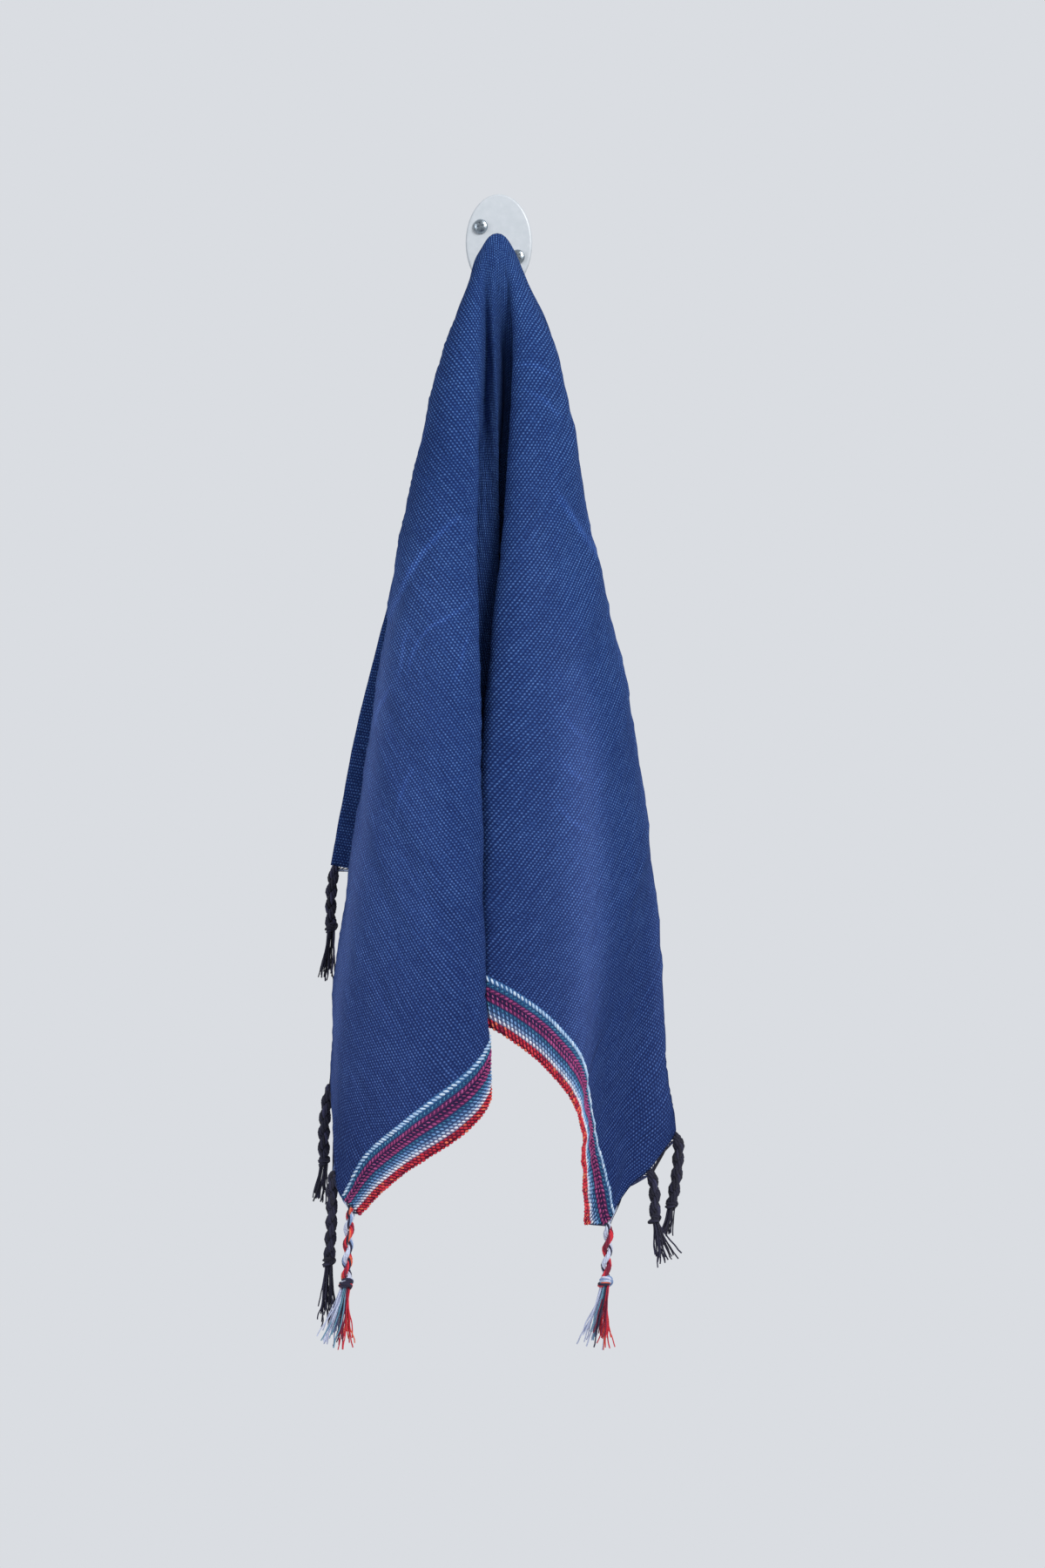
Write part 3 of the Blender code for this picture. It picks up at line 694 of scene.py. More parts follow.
def creaseHeights(across, down, points):
    ripple = rippleValues
    angles = np.degrees(np.arctan2(across, down))
    along = np.hypot(across, down)
    total = np.zeros(len(points))
    edge = ripple["edgeDegrees"]
    for name, height, width, low, high, line in creaseRows:
        gap = nearestOnLine(points[:, [0, 2]], line)[0]
        inside = np.clip((angles - low) / edge, 0, 1) * np.clip((high - angles) / edge, 0, 1)
        total += height * inside * np.exp(-(gap / width) ** 2)
    grown = np.clip((along - ripple["from"]) / ripple["over"], 0, 1)
    cross = np.radians(angles) * along
    finePlace, broadPlace, crepePlace = ripple["places"]
    fine = np.empty(len(points))
    for k in range(len(points)):
        place = Vector((cross[k] / ripple["fineWidth"], along[k] / ripple["fineLength"], finePlace))
        broad = Vector((cross[k] / ripple["broadWidth"], along[k] / ripple["broadLength"], broadPlace))
        crepe = Vector((across[k] / ripple["crepeSize"], down[k] / ripple["crepeSize"], crepePlace))
        fine[k] = (ripple["fineHeight"] * noise.noise(place) + ripple["broadHeight"] * noise.noise(broad)
                   + ripple["crepeHeight"] * noise.noise(crepe))
    total += fine * grown
    fromHem = drapeValues["frontDrop"] - down
    wave = np.sin(across * 2 * math.pi / ripple["hemWaveLength"])
    return total + ripple["hemWave"] * wave * np.exp(-fromHem / ripple["hemReach"])


towelValues = {
    "columns": 292,
    "rows": 154,
    "thickness": 1.1 * mm,
    "nearBy": 0.4,
}


def clothGrid():
    across = np.linspace(-drapeValues["halfLength"], drapeValues["halfLength"], towelValues["columns"] + 1)
    down = np.linspace(-drapeValues["backDrop"], drapeValues["frontDrop"], towelValues["rows"] + 1)
    return np.meshgrid(across, down)


def gridNormals(points):
    # outward on the front of the cloth
    normal = np.cross(np.gradient(points, axis=1), np.gradient(points, axis=0))
    return normal / np.maximum(np.linalg.norm(normal, axis=-1, keepdims=True), 1e-9)


def addMap(mesh, name, places, corners):
    layer = mesh.uv_layers.new(name=name)
    layer.data.foreach_set("uv", (places / clothLength)[corners].ravel())


def makeTowel(material):
    across, down = clothGrid()
    rows, columns = across.shape
    flat = hangPoints(across, down)
    normals = gridNormals(flat.reshape(rows, columns, 3)).reshape(-1, 3)
    across, down = across.ravel(), down.ravel()
    points = (flat + normals * creaseHeights(across, down, flat)[:, None]) * mm
    index = np.arange(rows * columns).reshape(rows, columns)
    quads = np.stack([index[:-1, :-1], index[1:, :-1], index[1:, 1:], index[:-1, 1:]], -1).reshape(-1, 4)
    mesh = bpy.data.meshes.new("towel")
    mesh.from_pydata(points.tolist(), [], quads.tolist())
    along = np.hypot(across, down)
    angles = np.arctan2(across, down)
    addMap(mesh, "clothGrid", np.stack([across + clothLength / 2, down + drapeValues["backDrop"]], -1),
           quads.ravel())
    addMap(mesh, "hangGrid", np.stack([angles * along, along], -1), quads.ravel())
    angles = np.degrees(angles)
    for name, strength, width, low, high, line in thinCreaseRows:
        gaps, sides, shares = nearestOnLine(flat[:, [0, 2]], line)
        gaps = np.clip(gaps * sides, -creaseReach, creaseReach)
        shown = np.where((angles > low) & (angles < high), np.sin(math.pi * shares), 0.0)
        layer = mesh.attributes.new(name, "FLOAT_VECTOR", "POINT")
        layer.data.foreach_set("vector", np.stack([gaps, shown, 0 * gaps], -1).ravel())
    mesh.materials.append(material)
    mesh.shade_smooth()
    towel = addObject("cottonTowel", mesh)
    wall = towel.modifiers.new("thickness", "SOLIDIFY")
    wall.thickness = towelValues["thickness"]
    wall.offset = 0.0
    return towel


def clothPlace(across, down, lift=0.0):
    # points near the cloth, lifted off its front by lift mm, and the cloth's normals there
    across = np.asarray(across, float)
    down = np.asarray(down, float)
    near = towelValues["nearBy"]
    centre = hangPoints(across, down)
    sideways = hangPoints(across + near, down) - hangPoints(across - near, down)
    downwards = hangPoints(across, down + near) - hangPoints(across, down - near)
    normal = np.cross(sideways, downwards)
    normal /= np.maximum(np.linalg.norm(normal, axis=1, keepdims=True), 1e-9)
    heights = creaseHeights(across, down, centre)[:, None]
    return centre + normal * (heights + lift), normal


# Geometry Nodes for yarns that follow a path
def newTree(name, sockets):
    tree = bpy.data.node_groups.new(name, "GeometryNodeTree")
    tree.interface.new_socket("Geometry", in_out="INPUT", socket_type="NodeSocketGeometry")
    for label, kind, value in sockets:
        socket = tree.interface.new_socket(label, in_out="INPUT", socket_type="NodeSocket" + kind)
        if value is not None:
            socket.default_value = value
    tree.interface.new_socket("Geometry", in_out="OUTPUT", socket_type="NodeSocketGeometry")
    start = tree.nodes.new("NodeGroupInput")
    end = tree.nodes.new("NodeGroupOutput")
    return tree, start.outputs, end.inputs


def finishTree(tree, geometry, material, end):
    realized = addNode(tree, "GeometryNodeRealizeInstances", {"Geometry": geometry})
    painted = addNode(tree, "GeometryNodeSetMaterial", {"Geometry": realized.outputs["Geometry"],
                                                        "Material": material})
    tree.links.new(painted.outputs["Geometry"], end["Geometry"])


def randomOf(tree, low, high, number, seed):
    node = addNode(tree, "FunctionNodeRandomValue", {"Min": low, "Max": high, "ID": number, "Seed": seed},
                   data_type="FLOAT")
    return [out for out in node.outputs if out.enabled][0]


def keepValue(tree, geometry, name, value, domain="CURVE"):
    node = addNode(tree, "GeometryNodeStoreNamedAttribute", {
        "Geometry": geometry, "Name": name, "Value": value}, data_type="FLOAT", domain=domain)
    return node.outputs["Geometry"]


def keptValue(tree, name, kind="FLOAT"):
    node = addNode(tree, "GeometryNodeInputNamedAttribute", {"Name": name}, data_type=kind)
    return node.outputs["Attribute"]


def sweepThreads(tree, curve, radius, sides):
    # a round thread along each curve
    sized = addNode(tree, "GeometryNodeSetCurveRadius", {"Curve": curve, "Radius": radius})
    profile = addNode(tree, "GeometryNodeCurvePrimitiveCircle", {"Resolution": sides, "Radius": 1.0})
    threads = addNode(tree, "GeometryNodeCurveToMesh", {
        "Curve": sized.outputs["Curve"], "Profile Curve": profile.outputs["Curve"], "Fill Caps": True})
    if "Scale" in threads.inputs:
        kept = addNode(tree, "GeometryNodeInputRadius")
        tree.links.new(kept.outputs["Radius"], threads.inputs["Scale"])
    return threads.outputs["Mesh"]


def chainMesh(name, chains, attributes=None):
    # each chain is a row of points in metres, joined by edges
    points, edges = [], []
    for chain in chains:
        first = len(points)
        points += [tuple(p) for p in chain]
        edges += [(first + k, first + k + 1) for k in range(len(chain) - 1)]
    mesh = bpy.data.meshes.new(name)
    mesh.from_pydata(points, edges, [])
    for label, values in (attributes or {}).items():
        layer = mesh.attributes.new(label, "FLOAT_VECTOR", "POINT")
        layer.data.foreach_set("vector", np.asarray(values, float).ravel())
    return mesh


def bakeNodes(name, mesh, tree, values):
    # runs the tree on the mesh and gives back a plain mesh
    carrier = addObject(name, mesh)
    modifier = carrier.modifiers.new("nodes", "NODES")
    modifier.node_group = tree
    sockets = {item.name: item.identifier for item in tree.interface.items_tree
               if item.item_type == "SOCKET" and item.in_out == "INPUT"}
    for label, value in values.items():
        modifier[sockets[label]] = value
    bpy.context.view_layer.update()
    graph = bpy.context.evaluated_depsgraph_get()
    result = bpy.data.meshes.new_from_object(carrier.evaluated_get(graph))
    result.name = name
    carrier.modifiers.remove(modifier)
    bpy.data.objects.remove(carrier)
    bpy.data.meshes.remove(mesh)
    return result


def joinMeshes(name, meshes):
    # one object from several plain meshes, with their materials kept
    materials = []
    bm = bmesh.new()
    for mesh in meshes:
        for material in mesh.materials:
            if material not in materials:
                materials.append(material)
        first = len(bm.faces)
        bm.from_mesh(mesh)
        bm.faces.ensure_lookup_table()
        for face in bm.faces[first:]:
            face.material_index = materials.index(mesh.materials[face.material_index])
            face.smooth = True
    whole = bpy.data.meshes.new(name)
    bm.to_mesh(whole)
    bm.free()
    for material in materials:
        whole.materials.append(material)
    for mesh in meshes:
        bpy.data.meshes.remove(mesh)
    return addObject(name, whole)


yarnValues = {
    "rootShare": 0.25,
    "swayPower": 1.4,
    "innerLeast": 0.8,
    "frayLeast": 0.15,
    "waveScale": 70.0,
    "waveDetail": 1.5,
    "waveShift": (0.113, 0.071, 0.037),
    "shortest": 0.3,
    "radiusRange": (0.85, 1.15),
    "toneRange": (0.05, 0.95),
    "groupTones": (0.90, 0.09),
    "plyNumber": 977.0,
    "yarnNumber": 7.0,
    "roughness": 0.85,
    "sheen": 0.1,
    "fuzzScale": 900.0,
    "fuzzDetail": 3.0,
    "fuzzContrast": 0.9,
    "fuzzDarkest": 0.55,
    "fuzzDepth": 0.2 * mm,
    "fuzzStrength": 0.6,
}


def makeYarnTree():
    # plies round the path, yarns round each ply, and a fray towards the end
    values = yarnValues
    tree, start, end = newTree("yarnBundle", (
        ("Step", "Float", 1.2 * mm), ("Plies", "Int", 2), ("Ply Spread", "Float", 1.8 * mm),
        ("Pitch", "Float", 17 * mm), ("Yarns", "Int", 5), ("Yarn Spread", "Float", 1.1 * mm),
        ("Yarn Pitch", "Float", 14 * mm), ("Yarn Radius", "Float", 0.7 * mm),
        ("Root", "Float", 6 * mm), ("Fray", "Float", 0.0), ("Wave", "Float", 0.0),
        ("Uneven", "Float", 0.0), ("Scatter", "Float", 1.0), ("Grouped", "Float", 0.0),
        ("Seed", "Int", 1), ("Sides", "Int", 5), ("Material", "Material", None)))
    path = addNode(tree, "GeometryNodeMeshToCurve", {"Mesh": start["Geometry"]})
    even = addNode(tree, "GeometryNodeResampleCurve", {"Curve": path.outputs["Curve"],
                                                       "Length": start["Step"]}, mode="LENGTH")

    def ringOffset(turns, spread):
        angle = productOf(tree, turns, 2 * math.pi)
        normal = addNode(tree, "GeometryNodeInputNormal").outputs["Normal"]
        tangent = addNode(tree, "GeometryNodeInputTangent").outputs["Tangent"]
        side = vectorOf(tree, "CROSS_PRODUCT", tangent, normal)
        return scaledVector(tree, vectorOf(
            tree, "ADD", scaledVector(tree, normal, mathOf(tree, "COSINE", angle)),
            scaledVector(tree, side, mathOf(tree, "SINE", angle))), spread)

    plies = addNode(tree, "GeometryNodeDuplicateElements", {
        "Geometry": even.outputs["Curve"], "Amount": start["Plies"]}, domain="SPLINE")
    plyShare = quotientOf(tree, plies.outputs["Duplicate Index"], start["Plies"])
    length = addNode(tree, "GeometryNodeSplineParameter").outputs
    turn = sumOf(tree, quotientOf(tree, length["Length"], start["Pitch"]), plyShare)
    grown = mathOf(tree, "MINIMUM", 1.0, mathOf(
        tree, "MULTIPLY_ADD", quotientOf(tree, length["Length"], start["Root"]),
        1 - values["rootShare"], values["rootShare"]))
    wound = addNode(tree, "GeometryNodeSetPosition", {
        "Geometry": keepValue(tree, plies.outputs["Geometry"], "plyShare", plyShare),
        "Offset": ringOffset(turn, productOf(tree, start["Ply Spread"], grown))})

    yarns = addNode(tree, "GeometryNodeDuplicateElements", {
        "Geometry": wound.outputs["Geometry"], "Amount": start["Yarns"]}, domain="SPLINE")
    yarnIndex = yarns.outputs["Duplicate Index"]
    ply = keptValue(tree, "plyShare")
    geometry = keepValue(tree, yarns.outputs["Geometry"], "yarnNumber", sumOf(
        tree, productOf(tree, ply, values["plyNumber"]),
        productOf(tree, yarnIndex, values["yarnNumber"])))
    geometry = keepValue(tree, geometry, "yarnShare", quotientOf(tree, yarnIndex, start["Yarns"]))
    number = keptValue(tree, "yarnNumber")
    share = keptValue(tree, "yarnShare")

    def chance(low, high, offset):
        return randomOf(tree, low, high, number, sumOf(tree, start["Seed"], offset))

    scattered = productOf(
        tree, chance(-0.5, 0.5, 2), productOf(tree, start["Uneven"], start["Scatter"]))
    strandTurn = sumOf(
        tree, quotientOf(tree, length["Length"], start["Yarn Pitch"]), share, scattered)
    sway = mathOf(tree, "POWER", length["Factor"], values["swayPower"])
    inner = differenceOf(
        tree, 1.0, productOf(tree, chance(0.0, values["innerLeast"], 3), start["Uneven"]))
    spread = sumOf(tree, productOf(tree, start["Yarn Spread"], inner), productOf(
        tree, start["Fray"], chance(values["frayLeast"], 1.0, 4), sway))
    place = addNode(tree, "GeometryNodeInputPosition").outputs["Position"]
    shifted = vectorOf(tree, "ADD", place, scaledVector(tree, values["waveShift"], number))
    waves = addNode(tree, "ShaderNodeTexNoise", {"Vector": shifted, "Scale": values["waveScale"],
                                                 "Detail": values["waveDetail"]})
    waving = scaledVector(tree, vectorOf(tree, "SUBTRACT", waves.outputs["Color"], (0.5, 0.5, 0.5)),
                          productOf(tree, start["Wave"], length["Factor"]))
    strands = addNode(tree, "GeometryNodeSetPosition", {
        "Geometry": geometry, "Offset": vectorOf(tree, "ADD", ringOffset(strandTurn, spread), waving)})
    cut = addNode(tree, "GeometryNodeTrimCurve", {"Curve": strands.outputs["Geometry"]}, mode="FACTOR")
    shortened = productOf(tree, chance(0.0, values["shortest"], 5), start["Uneven"])
    tree.links.new(differenceOf(tree, 1.0, shortened), cut.inputs["End"])

    # a strand's tone comes from its ply, or from its place round the bundle
    byPly = sumOf(tree, ply, productOf(
        tree, chance(*values["toneRange"], 6), quotientOf(tree, 1.0, start["Plies"])))
    wide, jitter = values["groupTones"]
    byPlace = mathOf(tree, "MULTIPLY_ADD", share, wide, chance(0.0, jitter, 8))
    loose = differenceOf(tree, 1.0, start["Grouped"])
    tone = sumOf(tree, productOf(tree, byPly, loose), productOf(tree, byPlace, start["Grouped"]))
    threads = sweepThreads(tree, keepValue(tree, cut.outputs["Curve"], "yarnTone", tone), productOf(
        tree, start["Yarn Radius"], chance(*values["radiusRange"], 7)), start["Sides"])
    finishTree(tree, threads, start["Material"], end)
    return tree


def makeTubeTree():
    # a plain thread along each chain
    tree, start, end = newTree("threadTubes", (
        ("Thread Radius", "Float", 0.3 * mm), ("Sides", "Int", 5), ("Seed", "Int", 1),
        ("Material", "Material", None)))
    path = addNode(tree, "GeometryNodeMeshToCurve", {"Mesh": start["Geometry"]})
    number = addNode(tree, "GeometryNodeInputIndex").outputs["Index"]
    tone = randomOf(tree, 0.0, 1.0, number, start["Seed"])
    toned = keepValue(tree, path.outputs["Curve"], "yarnTone", tone)
    threads = sweepThreads(tree, toned, start["Thread Radius"], start["Sides"])
    finishTree(tree, threads, start["Material"], end)
    return tree


def makeFloatTree():
    # a slanted float of yarn at each point
    tree, start, end = newTree("selvedgeFloats", (
        ("Float Length", "Float", 1.2 * mm), ("Float Width", "Float", 0.6 * mm),
        ("Length Spread", "Float", 0.15), ("Width Spread", "Float", 0.2), ("Seed", "Int", 1),
        ("Material", "Material", None)))
    points = addNode(tree, "GeometryNodeMeshToPoints", {"Mesh": start["Geometry"]})
    turn = addNode(tree, "FunctionNodeAlignRotationToVector", {
        "Vector": keptValue(tree, "heading", "FLOAT_VECTOR")}, axis="X")
    bead = addNode(tree, "GeometryNodeMeshIcoSphere", {"Radius": 1.0, "Subdivisions": 1})
    number = addNode(tree, "GeometryNodeInputIndex").outputs["Index"]

    def chance(low, high, offset):
        return randomOf(tree, low, high, number, sumOf(tree, start["Seed"], offset))

    def varied(size, spread, offset):
        return productOf(tree, start[size], chance(
            differenceOf(tree, 1.0, start[spread]), sumOf(tree, 1.0, start[spread]), offset))

    wide = varied("Float Width", "Width Spread", 1)
    size = addNode(tree, "ShaderNodeCombineXYZ", {"X": varied("Float Length", "Length Spread", 2),
                                                  "Y": wide, "Z": wide})
    placed = addNode(tree, "GeometryNodeInstanceOnPoints", {
        "Points": points.outputs["Points"], "Instance": bead.outputs["Mesh"],
        "Rotation": turn.outputs["Rotation"], "Scale": size.outputs["Vector"]})
    toned = keepValue(tree, placed.outputs["Instances"], "yarnTone", chance(0.0, 1.0, 3), "INSTANCE")
    finishTree(tree, toned, start["Material"], end)
    return tree


# yarn finishes: each yarn's tone picks its colour
yarnRows = {
    # name: the tone where each colour starts, and the colour
    "dark": ((0.0, (30, 30, 52)), (0.35, (38, 38, 64)), (0.7, (24, 24, 42)), (0.9, (52, 52, 84))),
    "corner": ((0.0, (206, 214, 238)), (0.14, (132, 160, 206)), (0.22, (34, 34, 64)),
               (0.38, (206, 214, 238)), (0.50, (214, 40, 60)), (0.66, (130, 24, 56)), (0.76, (34, 30, 58)),
               (0.86, (214, 40, 60)), (0.96, (232, 104, 74))),
    "tail": ((0.0, (214, 40, 60)), (0.14, (236, 108, 70)), (0.20, (206, 36, 58)), (0.34, (120, 26, 62)),
             (0.42, (36, 34, 62)), (0.50, (96, 144, 170)), (0.57, (200, 208, 236)), (0.78, (150, 172, 218)),
             (0.88, (44, 44, 78))),
    "root": ((0.0, (34, 44, 84)), (0.45, (26, 26, 44)), (0.84, (110, 136, 190)), (0.95, (190, 202, 230))),
    "red": ((0.0, (206, 36, 58)), (0.45, (224, 62, 72)), (0.66, (236, 112, 84)), (0.78, (160, 28, 66)),
            (0.90, (206, 36, 58))),
    "magenta": ((0.0, (158, 56, 118)), (0.6, (174, 74, 136))),
    "teal": ((0.0, (56, 122, 158)), (0.6, (72, 138, 174))),
    "ice": ((0.0, (176, 206, 238)), (0.6, (206, 226, 246))),
    "mid": ((0.0, (104, 150, 204)), (0.6, (120, 164, 214))),
    "pale": ((0.0, (158, 190, 228)), (0.6, (176, 204, 236))),
    "white": ((0.0, (236, 236, 244)), (0.6, (222, 224, 238))),
}


def makeYarnMaterial(name):
    values = yarnValues
    material, tree, shader = newMaterial(name + "Yarn", values["roughness"], sheen=values["sheen"])
    tone = addNode(tree, "ShaderNodeAttribute", attribute_name="yarnTone")
    colour = rampOf(tree, tone.outputs["Fac"], yarnRows[name], "CONSTANT")
    fuzz = grainOf(tree, values["fuzzScale"], values["fuzzDetail"])
    shade = mathOf(tree, "MULTIPLY_ADD", fuzz, values["fuzzContrast"], values["fuzzDarkest"])
    tree.links.new(scaledVector(tree, colour, shade), shader.inputs["Base Color"])
    tree.links.new(bumpOf(tree, fuzz, values["fuzzDepth"], values["fuzzStrength"]), shader.inputs["Normal"])
    return material


# the tassels, in millimetres
tasselValues = {
    "edgeInside": 4,
    "edgeBeside": 2,
    "rootGap": 0.35,
    "rootBend": 3.0,
    "rootLength": 7.0,
    "ropeStep": 1.6,
    "ropeSides": 6,
    "yarnStep": 1.3,
    "yarnPitch": -13.0,
    # plies apart, pitch, yarns apart, yarn radius
    "cornerRope": (1.5, 17.0, 0.85, 0.65),
    "darkRope": (1.35, 17.0, 1.25, 0.85),
    # radius, height, turns, yarn radius
    "cornerKnot": (2.6, 4.5, 2.3, 0.80),
    "darkKnot": (2.3, 3.0, 1.7, 0.62),
    "knotSteps": 24,
    "knotRoundness": 0.35,
    "knotTilt": 1.3,
    "knotTiltTurn": 0.8,
    "knotStep": 0.9,
    "knotRoot": 0.1,
    "knotYarns": 3,
    "knotPliesApart": 0.75,
    "knotPitch": 24.0,
    "knotYarnsApart": 0.6,
    "knotYarnPitch": 15.0,
    # yarns apart, yarn radius, how far round they scatter, colours grouped by side, finish
    "cornerTail": (2.4, 0.36, 0.12, 1.0, "tail"),
    "darkTail": (2.1, 0.42, 1.0, 0.0, "dark"),
    "tailSteps": 12,
    "tailStep": 1.6,
    "tailSides": 5,
    "tailRoot": 1.0,
    "tailYarnPitch": 350.0,
    "tailHidden": 3.0,
    "tailLean": 1.6,
    "tailWave": 7.0,
    "threadMargin": 1,
    "threadSpan": 15.0,
    "threadCount": 16,
    "threadSteps": 8,
    "threadRadius": 0.36,
    "threadBegin": -1.2,
    "threadBend": 1.5,
    "threadRise": 0.5,
    "threadGather": 1.6,
    "threadDrop": 3.0,
    "threadRing": 0.8,
    "threadRingTurn": 2.4,
}
tasselRows = {
    # place along the end, rope, tail, lean side, lean room, splay, bow, strands
    "Left": (
        (343, 41.0, 31.0, -0.05, 0.02, 0.36, 0.0, 44),
        (314, 50.0, 32.0, -0.03, -0.02, 0.20, 0.8, 22),
        (268, 43.0, 20.0, -0.08, 0.00, 0.22, -1.5, 20),
        (228, 42.0, 22.0, 0.02, 0.00, 0.25, 1.0, 18),
        (186, 38.0, 22.0, -0.02, 0.00, 0.25, -1.0, 18),
        (140, 40.0, 22.0, 0.00, -0.10, 0.25, 1.0, 18),
        (80, 42.0, 24.0, -0.02, -0.13, 0.25, 1.0, 18),
        (18, 38.0, 22.0, 0.04, -0.06, 0.25, -1.0, 18),
        (-17, 34.0, 28.0, -0.06, 0.00, 0.18, -1.0, 22),
    ),
    "Right": (
        (335, 33.0, 33.0, -0.07, 0.00, 0.30, 0.0, 44),
        (298, 27.0, 20.0, 0.05, 0.10, 0.48, 0.6, 24),
        (276, 40.0, 15.0, -0.10, -0.12, 0.22, 1.0, 20),
        (240, 38.0, 20.0, 0.00, -0.03, 0.25, 1.0, 18),
        (214, 38.0, 20.0, -0.08, 0.00, 0.25, -1.0, 18),
        (160, 40.0, 22.0, 0.00, -0.10, 0.25, 1.0, 18),
        (84, 38.0, 22.0, 0.00, -0.13, 0.25, 1.0, 18),
        (20, 40.0, 22.0, -0.04, -0.06, 0.25, -1.0, 18),
        (-12, 36.0, 24.0, 0.02, 0.00, 0.25, 1.0, 18),
    ),
}
tailLeans = {"Left1": -0.18, "Right1": -0.15, "Right2": 0.30}


def fringedEnd(end, place):
    # a place on the cloth's end, the way out from it, and the cloth's normal there
    half = drapeValues["halfLength"]
    inner = half - tasselValues["edgeInside"]
    beside = tasselValues["edgeBeside"]
    spots, normals = clothPlace([end * half, end * inner, end * half, end * half],
                                [place, place, place - beside, place + beside])
    edge, inside, before, after = (Vector(spot) for spot in spots)
    along = (after - before).normalized()
    out = edge - inside
    return edge, (out - along * out.dot(along)).normalized(), Vector(normals[0])


def threadChains(end, place, edge, out, gather):
    # warp threads bend along the cloth's end and run into the rope
    values = tasselValues
    count = values["threadCount"]
    lowest = values["threadMargin"] - drapeValues["backDrop"]
    highest = drapeValues["frontDrop"] - values["threadMargin"]
    chains = []
    for k in range(count):
        spot = place + values["threadSpan"] * (2 * k / (count - 1) - 1)
        spot = min(max(spot, lowest), highest)
        here, away, lift = fringedEnd(end, spot)
        turn = values["threadRingTurn"] * k
        begin = here + away * values["threadBegin"]
        rise = values["threadRise"] if k % 2 else -values["threadRise"]
        first = here + away * values["threadBend"] + lift * rise
        second = edge + out * values["threadGather"]
        stop = gather + Vector((math.cos(turn), math.sin(turn), 0)) * values["threadRing"]
        chain = []
        for step in range(values["threadSteps"] + 1):
            t = step / values["threadSteps"]
            chain.append((begin * (1 - t) ** 3 + first * 3 * t * (1 - t) ** 2
                          + second * 3 * t * t * (1 - t) + stop * t ** 3) * mm)
        chains.append(chain)
    return chains


def knotLoop(knot, kind, seed):
    values = tasselValues
    radius, height, turns, ignored = values[kind + "Knot"]
    loop = []
    for k in range(values["knotSteps"] + 1):
        share = k / values["knotSteps"]
        angle = 2 * math.pi * turns * share + seed
        reach = radius * max(0.0, math.sin(math.pi * share)) ** values["knotRoundness"]
        tilt = values["knotTilt"] * math.cos(angle + values["knotTiltTurn"])
        loop.append((knot + Vector((reach * math.cos(angle), reach * math.sin(angle),
                                    height * (0.5 - share) + tilt))) * mm)
    return loop


def makeTassel(side, number, seed, row, trees, finishes):
    place, rope, tail, leanSide, leanRoom, splay, bow, strands = row
    values = tasselValues
    kind = "corner" if number == 1 else "dark"
    end = -1 if side == "Left" else 1
    edge, out, ignored = fringedEnd(end, place)
    bend = values["rootBend"]

    def centreAt(at):
        # the rope leaves the cloth's end square to it, and then hangs
        swing = bend * (1 - math.exp(-at / bend))
        centre = edge + out * (values["rootGap"] + swing) + Vector((leanSide, -leanRoom, -1)) * (at - swing)
        return centre + Vector((bow * math.sin(math.pi * min(at / rope, 1.0)), 0, 0))

    def spun(name, chains, settings):
        return bakeNodes(name, chainMesh(name, chains), trees["yarns"], settings)

    steps = max(4, round(rope / values["ropeStep"]))
    pliesApart, pitch, yarnsApart, yarnRadius = values[kind + "Rope"]
    meshes = [spun("rope", [[centreAt(rope * k / steps) * mm for k in range(steps + 1)]], {
        "Step": values["yarnStep"] * mm, "Ply Spread": pliesApart * mm, "Pitch": pitch * mm,
        "Yarn Spread": yarnsApart * mm, "Yarn Pitch": values["yarnPitch"] * mm,
        "Yarn Radius": yarnRadius * mm, "Root": values["rootLength"] * mm, "Seed": seed,
        "Sides": values["ropeSides"], "Material": finishes[kind]})]

    knot = centreAt(rope)
    meshes.append(spun("knot", [knotLoop(knot, kind, seed)], {
        "Step": values["knotStep"] * mm, "Ply Spread": values["knotPliesApart"] * mm,
        "Pitch": values["knotPitch"] * mm, "Yarns": values["knotYarns"],
        "Yarn Spread": values["knotYarnsApart"] * mm, "Yarn Pitch": values["knotYarnPitch"] * mm,
        "Yarn Radius": values[kind + "Knot"][3] * mm, "Root": values["knotRoot"] * mm,
        "Seed": seed + 3, "Sides": values["ropeSides"], "Material": finishes[kind]}))

    yarnsApart, yarnRadius, scatter, grouped, finish = values[kind + "Tail"]
    steps = values["tailSteps"]
    lean = tailLeans.get(f"{side}{number}", leanSide * values["tailLean"])
    fall = Vector((lean, -leanRoom, -1)) * (tail + values["tailHidden"])
    meshes.append(spun("strands", [[(knot + fall * (k / steps)) * mm for k in range(steps + 1)]], {
        "Step": values["tailStep"] * mm, "Plies": 1, "Ply Spread": 0.0, "Yarns": strands,
        "Yarn Spread": yarnsApart * mm, "Yarn Pitch": values["tailYarnPitch"] * mm,
        "Yarn Radius": yarnRadius * mm, "Root": values["tailRoot"] * mm, "Fray": splay * tail * mm,
        "Wave": values["tailWave"] * mm, "Uneven": 1.0, "Scatter": scatter, "Grouped": grouped,
        "Seed": seed + 5, "Sides": values["tailSides"], "Material": finishes[finish]}))

    chains = threadChains(end, place, edge, out, centreAt(values["threadDrop"]))
    meshes.append(bakeNodes("threads", chainMesh("threads", chains), trees["tubes"], {
        "Thread Radius": values["threadRadius"] * mm, "Seed": seed, "Material": finishes["root"]}))

    tassel = joinMeshes(f"tassel{side}{number}", meshes)
    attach(tassel, "root")
    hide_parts(f"tassel_{side.lower()}_{number}")
    return tassel


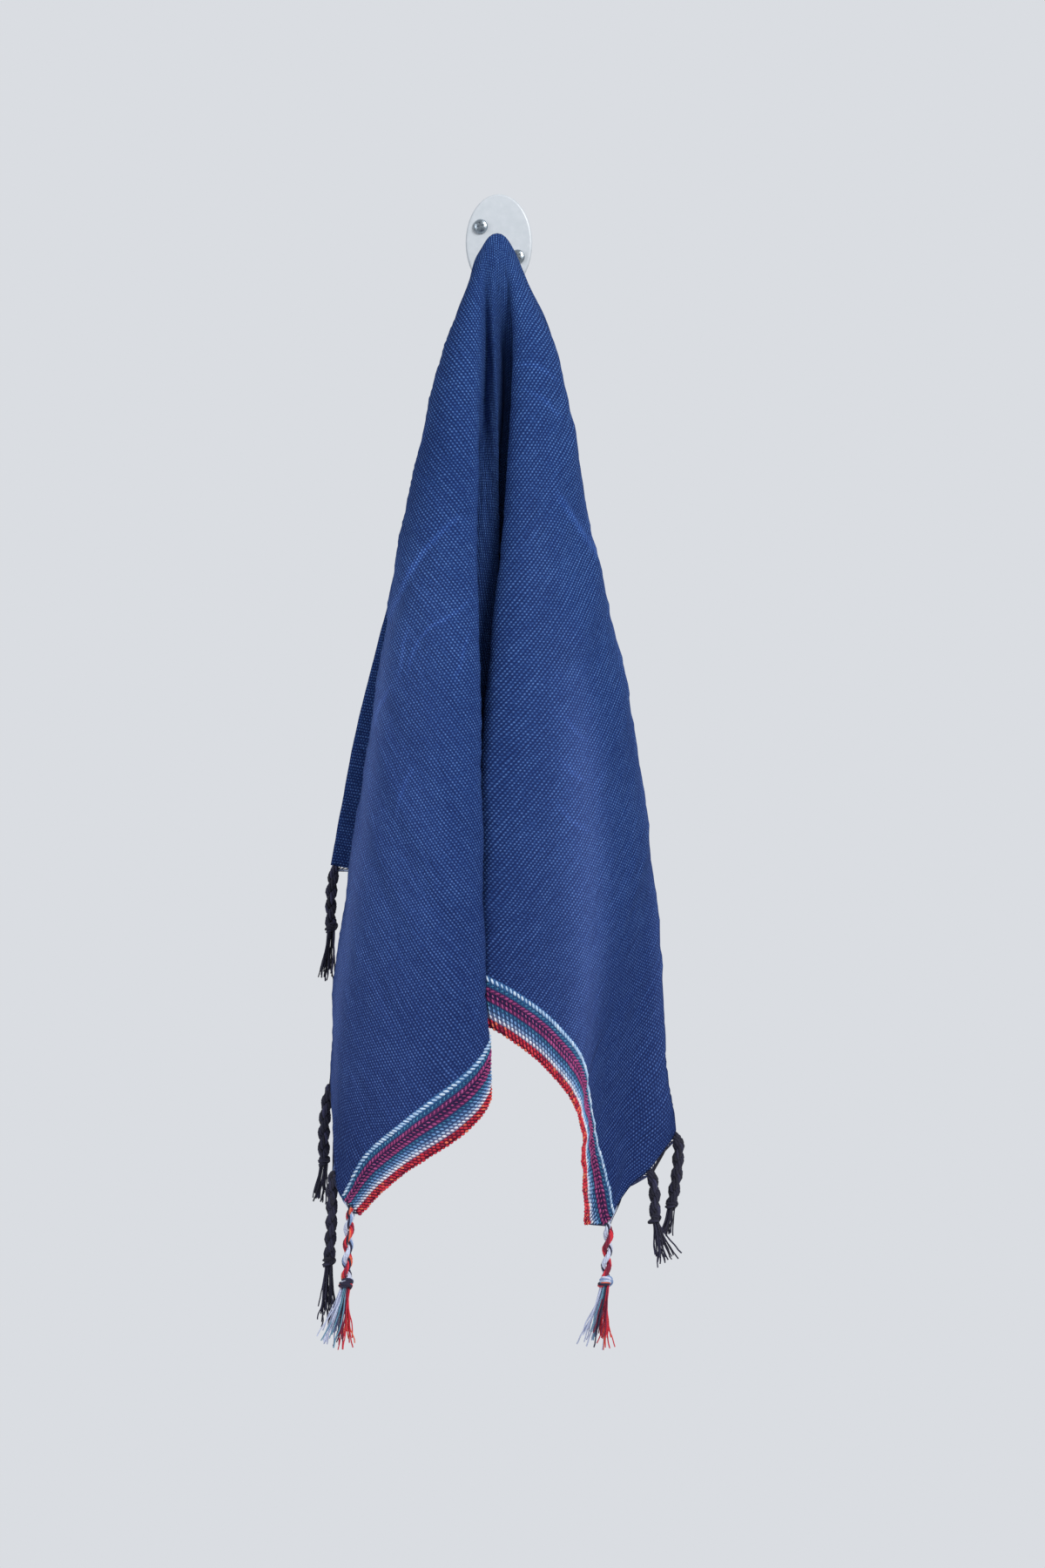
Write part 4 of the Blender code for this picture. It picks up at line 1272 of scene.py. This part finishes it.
# the raised yarns of the striped selvedge: rows of slanted floats
selvedgeValues = {
    "floatPitch": 2.1,
    "floatLift": 0.42,
    "stagger": 0.35,
    "endGap": 1.0,
    "endLimit": 0.5,
    "headingStep": 0.5,
    "seed": 11,
}
floatRows = (
    # distance from the selvedge, slant, half length, half width, finish
    (0.1, 0.55, 1.30, 0.82, "red"),
    (1.6, 0.9, 1.30, 0.64, "red"),
    (3.1, 0.9, 1.20, 0.60, "red"),
    (4.8, 0.9, 1.40, 0.64, "white"),
    (6.4, 0.9, 1.30, 0.58, "pale"),
    (8.3, 0.9, 1.40, 0.58, "mid"),
    (10.1, 0.9, 1.10, 0.50, "teal"),
    (12.2, 0.9, 1.50, 0.66, "magenta"),
    (14.4, 0.9, 1.20, 0.50, "magenta"),
    (16.6, -0.9, 1.50, 0.64, "magenta"),
    (18.9, -0.9, 1.10, 0.50, "teal"),
    (21.2, 0.9, 1.90, 0.74, "ice"),
)


def makeSelvedge(trees, finishes):
    values = selvedgeValues
    half = drapeValues["halfLength"]
    pitch = values["floatPitch"]
    count = int(2 * half / pitch)
    limit = half - values["endLimit"]
    step = values["headingStep"]
    meshes = []
    for number, (fromHem, slant, length, width, finish) in enumerate(floatRows):
        across = np.linspace(values["endGap"] - half, half - values["endGap"], count)
        across = np.clip(across + values["stagger"] * (number % 3) * pitch, -limit, limit)
        down = np.full(count, drapeValues["frontDrop"] - fromHem)
        # the first row wraps the edge itself, and the others lie on both faces
        for lift in (0.0,) if number == 0 else (values["floatLift"], -values["floatLift"]):
            spots, ignored = clothPlace(across, down, lift)
            ahead, ignored = clothPlace(across + step, down + step * slant, lift)
            row = chainMesh("floats", [spots * mm], {"heading": ahead - spots})
            meshes.append(bakeNodes("floats", row, trees["floats"], {
                "Float Length": length * mm, "Float Width": width * mm,
                "Seed": values["seed"] + number, "Material": finishes[finish]}))
    selvedge = joinMeshes("stripedSelvedge", meshes)
    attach(selvedge, "root")
    return selvedge


# the hook and its screws keep their CAD shapes
hookFinishes = {
    # node names: material, roughness, colours, the grain's scale and detail, the relief's depth and
    # strength, metallic
    ("hook",): ("whitePaint", 0.32, ((0.3, (198, 205, 211)), (0.7, (206, 212, 218))), 240.0, 2.0,
                0.15 * mm, 0.25, 0.0),
    ("screw_upper", "screw_lower"): ("zincPlate", 0.3, ((0.25, (140, 152, 162)), (0.75, (176, 186, 194))),
                                     900.0, 3.0, 0.1 * mm, 0.3, 1.0),
}


def finishHook():
    for names, settings in hookFinishes.items():
        material = grainedMaterial(*settings)
        for name in names:
            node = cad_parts[name]
            node.data.materials.clear()
            node.data.materials.append(material)


addCamera()
addLights()
addFloor()
print("camera, lights and floor set")

finishes = {name: makeYarnMaterial(name) for name in yarnRows}
trees = {"yarns": makeYarnTree(), "tubes": makeTubeTree(), "floats": makeFloatTree()}

towel = makeTowel(makeClothMaterial())
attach(towel, "root")
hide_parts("towel")
print("towel hung")

selvedge = makeSelvedge(trees, finishes)
print("selvedge yarns laid")

tassels = []
for side, rows in tasselRows.items():
    for number, row in enumerate(rows, 1):
        tassels.append(makeTassel(side, number, len(tassels), row, trees, finishes))
print("tassels knotted:", len(tassels))

finishHook()
print("hook and screws finished")
